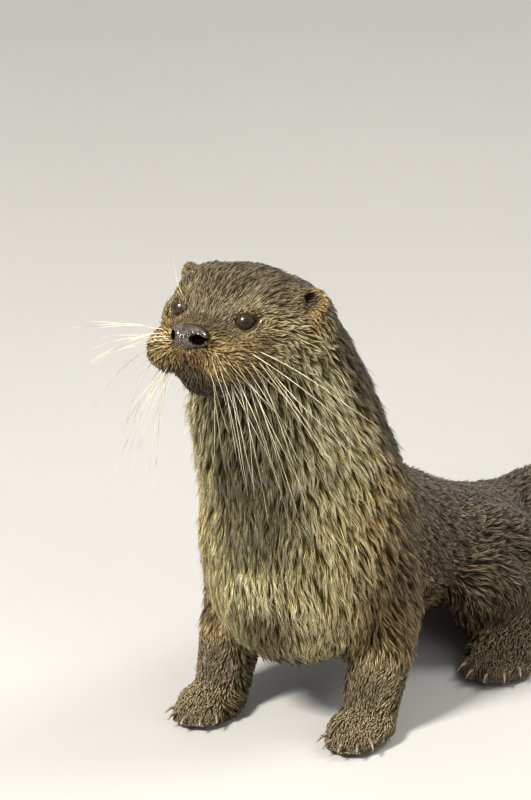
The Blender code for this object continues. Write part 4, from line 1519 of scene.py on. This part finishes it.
@dataclass
class Whiskers:
    """Stiff pale whiskers: rows on the muzzle pads and a few over the eyes."""

    axes: HeadAxes
    surface: Surface
    side: Side
    seed: int = 7
    points: int = 15
    sides: int = 5
    rows: int = 5
    columns: int = 6
    hang: float = 0.42  # how much more the left side's whiskers hang
    root_radius: float = 0.26 * MM
    tip_radius: float = 0.07 * MM
    taper: float = 0.8
    lengths: Point = (36, 46, 9)  # in millimetres: in front, the gain rearwards, the spread
    length_power: float = 0.7
    shortening: float = 0.12  # of the lowest row
    curl: Span = (-0.04, 0.22)  # how far the tips bend back
    wave: float = 0.03  # the spread of their waves, as a share of their length
    wave_turn: float = 5.0  # how far a wave gets on, in radians
    bristle_sag: Span = (0.14, 0.24)  # how far the top row sags, and the lowest more
    brows: int = 3
    bristle_thickness: Span = (0.60, 0.40)  # the front column's, and the rearmost's gain
    brow_lengths: Span = (20, 4)  # in millimetres: the first, and the gain of each next
    brow_sag: float = 0.05
    brow_thickness: float = 0.35

    # In millimetres in head axes, for the left side: where the rows start, and how far the roots
    # move from the top row to the lowest and from the front column to the rearmost.
    ROOTS = np.array([(63, 15, -19), (-3, 0, -18), (-17, 17, -4)], float)
    # Which way the whiskers point: at the start, its changes in the same order, and with their hang.
    WAYS = np.array([(0.40, 1.0, -0.10), (0.0, -0.62, -0.80), (-0.62, 0.0, 0.0), (0.0, -0.25, -1.0)])
    ROOT_SPREAD = 0.9
    WAY_SPREADS = np.array([0.08, 0.06, -0.08])
    # The same for the whiskers over the eye: the first one's, and the change from each to the next.
    BROW_ROOTS = np.array([(44, 20, 1), (-3, 2, -1)], float)
    BROW_WAYS = np.array([(0.25, 0.55, 0.85), (-0.25, 0.0, 0.0)])

    def build(self) -> Object:
        """Make one side's whiskers.

        Returns:
            The piece.
        """
        rng = np.random.default_rng(self.seed + (self.side is Side.LEFT))
        name = self.side.word
        whiskers = tubes_object("whiskers_" + name, list(self._bristles(rng)), self.points, self.sides)
        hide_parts(*(f"whisker_{name}_{row}" for row in ("upper", "middle", "lower")))
        return whiskers

    def _bristles(self, rng: Rng) -> Iterator[Array]:
        """Make the whiskers one by one.

        Args:
            rng: Where the chances come from.

        Yields:
            The points of one whisker, ring after ring.
        """
        flip = np.array([1.0, self.side.value, 1.0])
        hang = self.hang if self.side is Side.LEFT else 0.0
        short, longer, spread = self.lengths
        (sag, more_sag), (thin, more_thick) = self.bristle_sag, self.bristle_thickness
        for height in (row / (self.rows - 1) for row in range(self.rows)):
            for back in (column / (self.columns - 1) for column in range(self.columns)):
                root = np.array([1.0, height, back]) @ self.ROOTS * flip
                root += rng.normal(0.0, self.ROOT_SPREAD, 3)
                way = np.array([1.0, height, back, hang]) @ self.WAYS
                way += rng.normal(size=3) * self.WAY_SPREADS
                length = short + longer * back ** self.length_power + rng.uniform(-spread, spread)
                length *= (1.0 - self.shortening * height) * MM
                droop, thick = sag + more_sag * height, thin + more_thick * back
                yield self._bristle(root * MM, way * flip, length, droop, thick, rng)
        for spot in range(self.brows):
            root = np.array([1.0, spot]) @ self.BROW_ROOTS * flip * MM
            way = np.array([1.0, spot]) @ self.BROW_WAYS * flip
            length = (self.brow_lengths[0] + self.brow_lengths[1] * spot) * MM
            yield self._bristle(root, way, length, self.brow_sag, self.brow_thickness, rng)

    def _bristle(self, root: Array, way: Array, length: float, droop: float, thick: float,
                 rng: Rng) -> Array:
        """Make one whisker, rooted in the skin and bending under its weight.

        Args:
            root: Its root in head axes.
            way: The way it leaves the skin, in head axes.
            length: Its length.
            droop: How far its tip sags, as a share of its length.
            thick: Its share of the full thickness.
            rng: Where the chances come from.

        Returns:
            Rows of places, ring after ring.
        """
        start = self.surface.lay(self.axes.world(root)[None])[0][0]
        heading = self.axes.turn(unit(way))
        part = np.linspace(0.0, 1.0, self.points)
        far = part[:, None]
        sag = -UP * droop - self.axes.ahead * rng.uniform(*self.curl)
        wave = np.cross(heading, UP) * rng.normal(0.0, self.wave)
        bent = heading * far + sag * far ** 2 + wave * np.sin(far * self.wave_turn)
        line = start - heading * MM + bent * length
        swell = (self.root_radius - self.tip_radius) * (1.0 - part) ** self.taper
        return swept(line, unit(np.gradient(line, axis=0)), (self.tip_radius + swell) * thick, self.sides)


@dataclass
class Claws:
    """The five curved claws of one foot."""

    foot: str
    side: Side
    rings: int = 8
    around: int = 10
    thickness: float = 1.25 * MM
    tip_thickness: float = 0.05 * MM
    taper: float = 1.6
    oval: Span = (0.8, 1.1)  # width and height as shares of the thickness
    curve: float = 0.176
    ends: Span = (0.2, 0.8)  # shares of the solid's points before its root and its tip
    buried: float = 1.5 * MM

    def build(self) -> Object:
        """Make the claws of one foot.

        Returns:
            The piece.
        """
        foot = f"{self.foot}_{self.side.word}"
        nodes = [f"{foot}_claw_{number}" for number in range(1, 6)]
        tubes = [self._claw(node, centre_of(foot)) for node in nodes]
        claws = tubes_object("claws_" + foot, tubes, self.rings, self.around)
        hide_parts(*nodes)
        return claws

    def _claw(self, node: str, paw: Array) -> Array:
        """Return the rings of one claw, in the place of its solid.

        Args:
            node: The claw's solid.
            paw: The middle of its paw.

        Returns:
            Rows of places, ring after ring.
        """
        points = mesh_arrays(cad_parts[node].data)[0]
        reach = (points - paw) @ unit(points.mean(0) - paw)
        near, far = np.quantile(reach, self.ends)
        root, tip = points[reach <= near].mean(0), points[reach >= far].mean(0)
        along = unit(tip - root)
        root = root - along * self.buried
        length = float(np.linalg.norm(tip - root))
        part = np.linspace(0.0, 1.0, self.rings)
        arch = self.curve * length * np.sin(part * math.pi)
        over = np.cross(unit(np.cross(along, UP)), along)
        line = root + np.outer(part * length, along) + np.outer(arch, over)
        radius = self.thickness * np.sqrt(np.maximum(1.0 - part ** self.taper, 0.0)) + self.tip_thickness
        return swept(line, along, radius, self.around, self.oval)


# --- Finishes ---
Colour = tuple[float, float, float]
Plug = bpy.types.NodeSocket
Value = float | Colour | Plug


class Wiring:
    """Short ways to add and join the nodes of one material."""

    def __init__(self, name: str) -> None:
        """Start a material with only its shader.

        Args:
            name: The material's name.
        """
        self.material = bpy.data.materials.new(name)
        self.material.use_nodes = True
        self.tree = self.material.node_tree
        self.shader = self.tree.nodes["Principled BSDF"]

    def put(self, plug: Plug, value: Value) -> None:
        """Give a socket its value.

        Args:
            plug: The socket.
            value: Another socket to join it to, or its own number or colour.
        """
        if isinstance(value, Plug):
            self.tree.links.new(value, plug)
        elif isinstance(value, tuple):
            plug.default_value = (*value, 1.0) if len(plug.default_value) == 4 else value
        else:
            plug.default_value = value

    def add(self, kind: str, inputs: dict[str | int, Value], **settings: str | bool) -> bpy.types.Node:
        """Add a node.

        Args:
            kind: The node's type, without the words ShaderNode.
            inputs: The values of its inputs, by name or number.
            settings: Its own settings.

        Returns:
            The node.
        """
        node = self.tree.nodes.new("ShaderNode" + kind)
        for name, value in settings.items():
            setattr(node, name, value)
        for name, value in inputs.items():
            self.put(node.inputs[name], value)
        return node

    def attribute(self, name: str) -> Plug:
        """Return a number written on the mesh."""
        return self.add("Attribute", {}, attribute_name=name).outputs["Fac"]

    def product(self, first: Value, second: Value) -> Plug:
        """Return the product of two numbers, kept between 0 and 1."""
        return self.add("Math", {0: first, 1: second}, operation="MULTIPLY", use_clamp=True).outputs[0]

    def blend(self, share: Value, first: Value, second: Value, kind: str = "MIX") -> Plug:
        """Return two colours blended, with a share of the second, by MIX or MULTIPLY."""
        return self.add("Mix", {"Factor": share, 6: first, 7: second}, data_type="RGBA",
                        blend_type=kind, clamp_result=kind == "MULTIPLY").outputs[2]

    def times(self, first: Value, second: Value) -> Plug:
        """Return two colours multiplied."""
        return self.blend(1.0, first, second, "MULTIPLY")

    def shaded(self, colour: Value, depth: float, most: float) -> Plug:
        """Return a colour darkened by the mesh's shade times depth, where 1 leaves most of it."""
        shade = self.product(self.attribute("shade"), depth)
        return self.times(colour, self.blend(shade, (0.0, 0.0, 0.0), (most, most, most)))

    def steps(self, value: Value, *stops: Span) -> Plug:
        """Read a ramp of greys.

        Args:
            value: Where it is read.
            stops: The place and the grey of each stop.

        Returns:
            The grey there.
        """
        node = self.add("ValToRGB", {"Fac": value})
        ramp = node.color_ramp
        ramp.interpolation = "EASE"
        for index, (place, grey) in enumerate(stops):
            stop = ramp.elements[index] if index < 2 else ramp.elements.new(place)
            stop.position = place
            stop.color = (grey, grey, grey, 1.0)
        return node.outputs["Color"]

    def noise(self, scale: float, detail: float) -> Plug:
        """Return noise fixed to the object's own space."""
        place = self.add("TexCoord", {}).outputs["Object"]
        return self.add("TexNoise", {"Scale": scale, "Detail": detail, "Vector": place}).outputs["Fac"]

    def bump(self, height: Value, strength: float, distance: float) -> None:
        """Give the shader a bump.

        Args:
            height: The height of each place.
            strength: How strong it is, from 0 to 1.
            distance: The depth of the bump, in metres.
        """
        node = self.add("Bump", {"Height": height, "Strength": strength, "Distance": distance})
        for name in ("Normal", "Coat Normal"):
            self.put(self.shader.inputs[name], node.outputs["Normal"])

    def finish(self, colour: Value, roughness: Value, **inputs: Value) -> Material:
        """Set the shader's inputs.

        Args:
            colour: Its colour.
            roughness: Its roughness.
            inputs: Its other inputs by name, with _ for a space.

        Returns:
            The finished material.
        """
        for name, value in {"Base_Color": colour, "Roughness": roughness, **inputs}.items():
            self.put(self.shader.inputs[name.replace("_", " ")], value)
        return self.material


@dataclass(frozen=True)
class CoatDyes:
    """The colours of the markings, shared by the skin and the tufts; the colours low on the hair hold
    painted shade.
    """

    dark: Colour = (0.042, 0.028, 0.018)
    dark_tip: Colour = (0.210, 0.165, 0.124)
    # buff is the pale coat low on the hair; its olive cast is partly painted bounce light
    buff: Colour = (0.170, 0.140, 0.042)
    buff_tip: Colour = (0.970, 0.915, 0.640)
    warmth: float = 0.85
    warm: Colour = (0.135, 0.070, 0.015)
    warm_tip: Colour = (0.780, 0.520, 0.200)

    def painted(self, wires: Wiring, along: Value) -> Plug:
        """Wire up the markings.

        Args:
            wires: The material's wiring.
            along: How far along the hair the colour is read, from 0 to 1.

        Returns:
            The colour.
        """
        pale = wires.product(wires.attribute("pale"), 1.0)
        warm = wires.product(wires.attribute("warm"), self.warmth)
        low = wires.blend(warm, wires.blend(pale, self.dark, self.buff), self.warm)
        high = wires.blend(warm, wires.blend(pale, self.dark_tip, self.buff_tip), self.warm_tip)
        # The colour darkens low on the hair: partly the hair's own, partly painted shade deep in the coat.
        return wires.blend(wires.steps(along, (0.42, 0.0), (0.96, 1.0)), low, high)


@dataclass(frozen=True)
class TuftFinish:
    """Damp guard hair, dark at its root and lighter at its tip: partly its own colour, partly painted
    shade deep in the coat.
    """

    dyes: CoatDyes = CoatDyes()
    # the colour at the root: partly the hair's own, partly painted shade, and its olive cast partly
    # painted bounce light
    root: Colour = (0.090, 0.075, 0.024)
    roughness: float = 0.42
    grain: float = 900.0  # waves of noise in a metre, here and in the other finishes
    sheen: float = 0.45  # how much light the dark coat throws back
    dull: float = 0.14  # and the pale coat

    def make(self) -> Material:
        """Make the material.

        Returns:
            The finish of the tufts.
        """
        wires = Wiring("damp_hair")
        along = wires.attribute("along")
        # Painted shade deep in the coat, with the hair's own darker root: the colour darkens towards the
        # root.
        root_tint_and_shade = wires.blend(wires.steps(along, (0.10, 0.0), (0.65, 1.0)), self.root, (1.0, 1.0, 1.0))
        colour = wires.times(self.dyes.painted(wires, along), root_tint_and_shade)
        colour = wires.shaded(colour, depth=0.5, most=2.0)
        low, high = self.roughness - 0.08, self.roughness + 0.12
        rough = wires.steps(wires.noise(self.grain, 1.0), (0.35, low), (0.65, high))
        gloss = wires.steps(wires.attribute("pale"), (0.14, self.sheen), (0.46, self.dull))
        return wires.finish(colour, rough, Specular_IOR_Level=gloss)


@dataclass(frozen=True)
class SkinFinish:
    """Skin and underfur: the coat's markings, darker, partly as the underfur's own colour and partly as
    painted shade deep in the coat, with bare lids and lips.
    """

    dyes: CoatDyes = CoatDyes()
    bare: Colour = (0.022, 0.015, 0.012)
    # how much of the shade mark darkens the markings: partly the underfur's own colour, partly painted
    # shade deep in the coat
    depth: float = 0.30
    grain: float = 1400.0

    def make(self) -> Material:
        """Make the material.

        Returns:
            The finish of the skin.
        """
        wires = Wiring("underfur")
        fleck = wires.noise(self.grain, 2.0)
        colour = self.dyes.painted(wires, wires.steps(fleck, (0.35, 0.0), (0.7, 0.45)))
        bare = wires.attribute("bare")
        colour = wires.blend(bare, wires.shaded(colour, self.depth, most=1.0), self.bare)
        wires.bump(fleck, strength=0.6, distance=0.0006)
        rough = wires.steps(bare, (0.0, 0.85), (1.0, 0.32))
        gloss = wires.steps(bare, (0.0, 0.03), (1.0, 0.4))
        return wires.finish(colour, rough, Specular_IOR_Level=gloss)


@dataclass(frozen=True)
class EyeFinish:
    """A wet eye: black pupil in a very dark brown iris."""

    pupil: Colour = (0.0040, 0.0026, 0.0014)
    iris: Colour = (0.021, 0.010, 0.004)
    rim: Colour = (0.012, 0.008, 0.006)
    grain: float = 1800.0

    def make(self) -> Material:
        """Make the material.

        Returns:
            The finish of the eyes.
        """
        wires = Wiring("wet_eye")
        gaze = wires.attribute("gaze")
        fleck = wires.steps(wires.noise(self.grain, 2.0), (0.3, 0.4), (0.7, 1.0))
        iris = wires.times(self.iris, fleck)
        colour = wires.blend(wires.steps(gaze, (0.34, 0.0), (0.50, 1.0)), self.pupil, iris)
        colour = wires.blend(wires.steps(gaze, (0.80, 0.0), (0.95, 1.0)), colour, self.rim)
        return wires.finish(colour, 0.30, Coat_Weight=0.38, Coat_Roughness=0.12, Specular_IOR_Level=0.10)


@dataclass(frozen=True)
class NoseFinish:
    """Bare moist nose leather, nearly black, greyer in soft blotches."""

    low: Colour = (0.003, 0.002, 0.0015)
    high: Colour = (0.042, 0.029, 0.021)
    # painted shade: the colour inside the nostrils' holes
    nostril: Colour = (0.002, 0.001, 0.001)
    blotches: float = 260.0
    pebbles: float = 400.0
    wetness: float = 420.0

    def make(self) -> Material:
        """Make the material.

        Returns:
            The finish of the nose pad.
        """
        wires = Wiring("nose_leather")
        blotch = wires.steps(wires.noise(self.blotches, 4.0), (0.35, 0.0), (0.70, 1.0))
        pit = wires.attribute("pit")
        # Painted shade: the nostrils' holes are coloured near black.
        dark = wires.steps(pit, (0.04, 0.0), (0.35, 1.0))
        colour = wires.blend(dark, wires.blend(blotch, self.low, self.high), self.nostril)
        wires.bump(wires.noise(self.pebbles, 1.5), strength=1.0, distance=0.0026)
        rough = wires.steps(wires.noise(self.wetness, 3.0), (0.30, 0.22), (0.65, 0.50))
        wet = wires.steps(pit, (0.0, 1.0), (0.3, 0.0))
        gloss = wires.product(wet, 0.25)
        return wires.finish(colour, rough, Coat_Weight=wet, Coat_Roughness=0.12, Specular_IOR_Level=gloss)


@dataclass(frozen=True)
class WhiskerFinish:
    """Stiff cream bristle."""

    root: Colour = (0.18, 0.15, 0.09)
    shaft: Colour = (0.40, 0.36, 0.25)
    grain: float = 60.0

    def make(self) -> Material:
        """Make the material.

        Returns:
            The finish of the whiskers.
        """
        wires = Wiring("bristle")
        share = wires.steps(wires.noise(self.grain, 2.0), (0.35, 0.0), (0.6, 1.0))
        return wires.finish(wires.blend(share, self.root, self.shaft), 0.32)


@dataclass(frozen=True)
class ClawFinish:
    """Dull brown horn with pale streaks."""

    dark: Colour = (0.045, 0.030, 0.020)
    light: Colour = (0.190, 0.140, 0.095)
    grain: float = 900.0

    def make(self) -> Material:
        """Make the material.

        Returns:
            The finish of the claws.
        """
        wires = Wiring("horn")
        streak = wires.steps(wires.noise(self.grain, 3.0), (0.35, 0.0), (0.7, 1.0))
        wires.bump(streak, strength=0.25, distance=0.0003)
        return wires.finish(wires.blend(streak, self.dark, self.light), 0.38)


@dataclass(frozen=True)
class FloorFinish:
    """A plain pale floor."""

    colour: Colour = (0.22, 0.217, 0.211)
    grain: float = 3.0

    def make(self) -> Material:
        """Make the material.

        Returns:
            The finish of the floor.
        """
        wires = Wiring("pale_floor")
        grain = wires.steps(wires.noise(self.grain, 4.0), (0.3, 0.97), (0.7, 1.0))
        return wires.finish(wires.times(self.colour, grain), 0.75)


# --- Studio ---
@dataclass(frozen=True)
class Lamp:
    """One square soft light: where it hangs, its size, power and colour."""

    place: Point
    size: float
    watts: float
    colour: Colour
    shines: bool = False  # whether it shows in glossy places


@dataclass
class Studio:
    """A pale floor, soft lights and the camera."""

    floor_half: float = 9.0
    aim: Point = (-0.0030, -0.2675, 0.2140)
    azimuth: float = math.radians(25.0)
    elevation: float = math.radians(20.0)
    distance: float = 4.5
    seen_height: float = 0.500
    sensor: float = 24.0
    sky: Colour = (1.0, 0.985, 0.94)
    sky_strength: float = 0.86
    far_end: float = 50.0  # how far the camera sees

    LAMPS = {
        "key": Lamp((-0.62, -2.05, 1.95), 0.55, 290.0, (1.0, 0.97, 0.90), True),
        "fill": Lamp((1.9, -1.3, 0.9), 1.4, 34.0, (1.0, 0.98, 0.95)),
        "rim": Lamp((1.1, 0.7, 1.9), 1.0, 56.0, (1.0, 0.98, 0.94)),
    }

    def build(self) -> None:
        """Lay the floor, light the room and set up the camera."""
        bpy.context.scene.view_settings.view_transform = "Standard"
        half = self.floor_half
        points = np.array([(-half, -half, 0.0), (half, -half, 0.0), (half, half, 0.0), (-half, half, 0.0)])
        floor = mesh_object("floor", points, np.array([(0, 1, 2), (0, 2, 3)]))
        floor.data.materials.append(FloorFinish().make())
        floor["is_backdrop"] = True
        world = bpy.data.worlds.new("room")
        bpy.context.scene.world = world
        world.use_nodes = True
        room = world.node_tree.nodes["Background"]
        room.inputs["Color"].default_value = (*self.sky, 1.0)
        room.inputs["Strength"].default_value = self.sky_strength
        for name, lamp in self.LAMPS.items():
            self._hang(name, lamp)
        self._camera()

    def _hang(self, name: str, lamp: Lamp) -> None:
        """Hang one light that faces the otter.

        Args:
            name: The light's name.
            lamp: What it is like.
        """
        data = bpy.data.lights.new(name, "AREA")
        data.size = lamp.size
        data.energy = lamp.watts
        data.color = lamp.colour
        self._stand(name, data, Vector(lamp.place)).visible_glossy = lamp.shines

    def _camera(self) -> None:
        """Set up the camera."""
        flat = math.cos(self.elevation)
        back = Vector((math.sin(self.azimuth) * flat, -math.cos(self.azimuth) * flat,
                       math.sin(self.elevation)))
        data = bpy.data.cameras.new("camera")
        data.sensor_fit = "VERTICAL"
        data.sensor_height = self.sensor
        data.lens = self.sensor * self.distance / self.seen_height
        data.clip_end = self.far_end
        aim = Vector(self.aim)
        bpy.context.scene.camera = self._stand("camera", data, aim + back * self.distance)

    def _stand(self, name: str, data: bpy.types.ID, spot: Vector) -> Object:
        """Stand a light or camera somewhere, facing the otter.

        Args:
            name: Its name.
            data: The light or camera.
            spot: Where it stands.

        Returns:
            The object.
        """
        thing = bpy.data.objects.new(name, data)
        thing.location = spot
        thing.rotation_euler = (Vector(self.aim) - spot).to_track_quat("-Z", "Y").to_euler()
        bpy.context.scene.collection.objects.link(thing)
        return thing


# --- The whole otter ---
def clear_start() -> None:
    """Remove the objects that a new Blender file starts with."""
    for name in ("Cube", "Light", "Camera"):
        thing = bpy.data.objects.get(name)
        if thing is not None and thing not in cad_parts.values():
            bpy.data.objects.remove(thing, do_unlink=True)


def place(piece: Object, slot: str, material: Material) -> None:
    """Fix a piece to the body and give it its material.

    Args:
        piece: The piece.
        slot: Not used.
        material: Its material.
    """
    piece.data.materials.append(material)
    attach(piece, BODY)
    LOG.info("%s: %d faces", piece.name, len(piece.data.polygons))


def write_sizes(solids: tuple[Sequence[float], Sequence[float]]) -> None:
    """Measure the boxes of the solids and of the finished model.

    Args:
        solids: The box of the solids, measured before anything was added.
    """
    boxes = {"cad": solids, "visual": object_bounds()}
    plain = {name: [[float(value) for value in corner] for corner in box] for name, box in boxes.items()}


def main() -> None:
    """Build the otter and its studio."""
    logging.basicConfig(level=logging.INFO, format="%(name)s: %(message)s")
    clear_start()
    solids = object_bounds()
    axes = HeadAxes.measured()
    plan = CoatPlan(axes)
    sockets = {side: Socket.on(axes, side) for side in Side}
    skin, surface = Skin(axes, plan, sockets).build()
    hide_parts(*FLESH_NODES)
    place(skin, "dark_coat", SkinFinish().make())
    hair = TuftFinish().make()
    for piece in Coat(axes, plan, surface, sockets).build():
        slot = "pale_coat" if any(word in piece.name for word in ("neck", "chest")) else "dark_coat"
        place(piece, slot, hair)
    wet_eye, bristle, horn = EyeFinish().make(), WhiskerFinish().make(), ClawFinish().make()
    for side, socket in sockets.items():
        place(Eyeball(socket).build(), "eye", wet_eye)
        place(Whiskers(axes, surface, side).build(), "whisker", bristle)
        for foot in ("forepaw", "hindfoot"):
            place(Claws(foot, side).build(), "claw", horn)
    place(NosePad(axes).build(), "nose_skin", NoseFinish().make())
    Studio().build()
    write_sizes(solids)


if __name__ == "__main__":
    main()
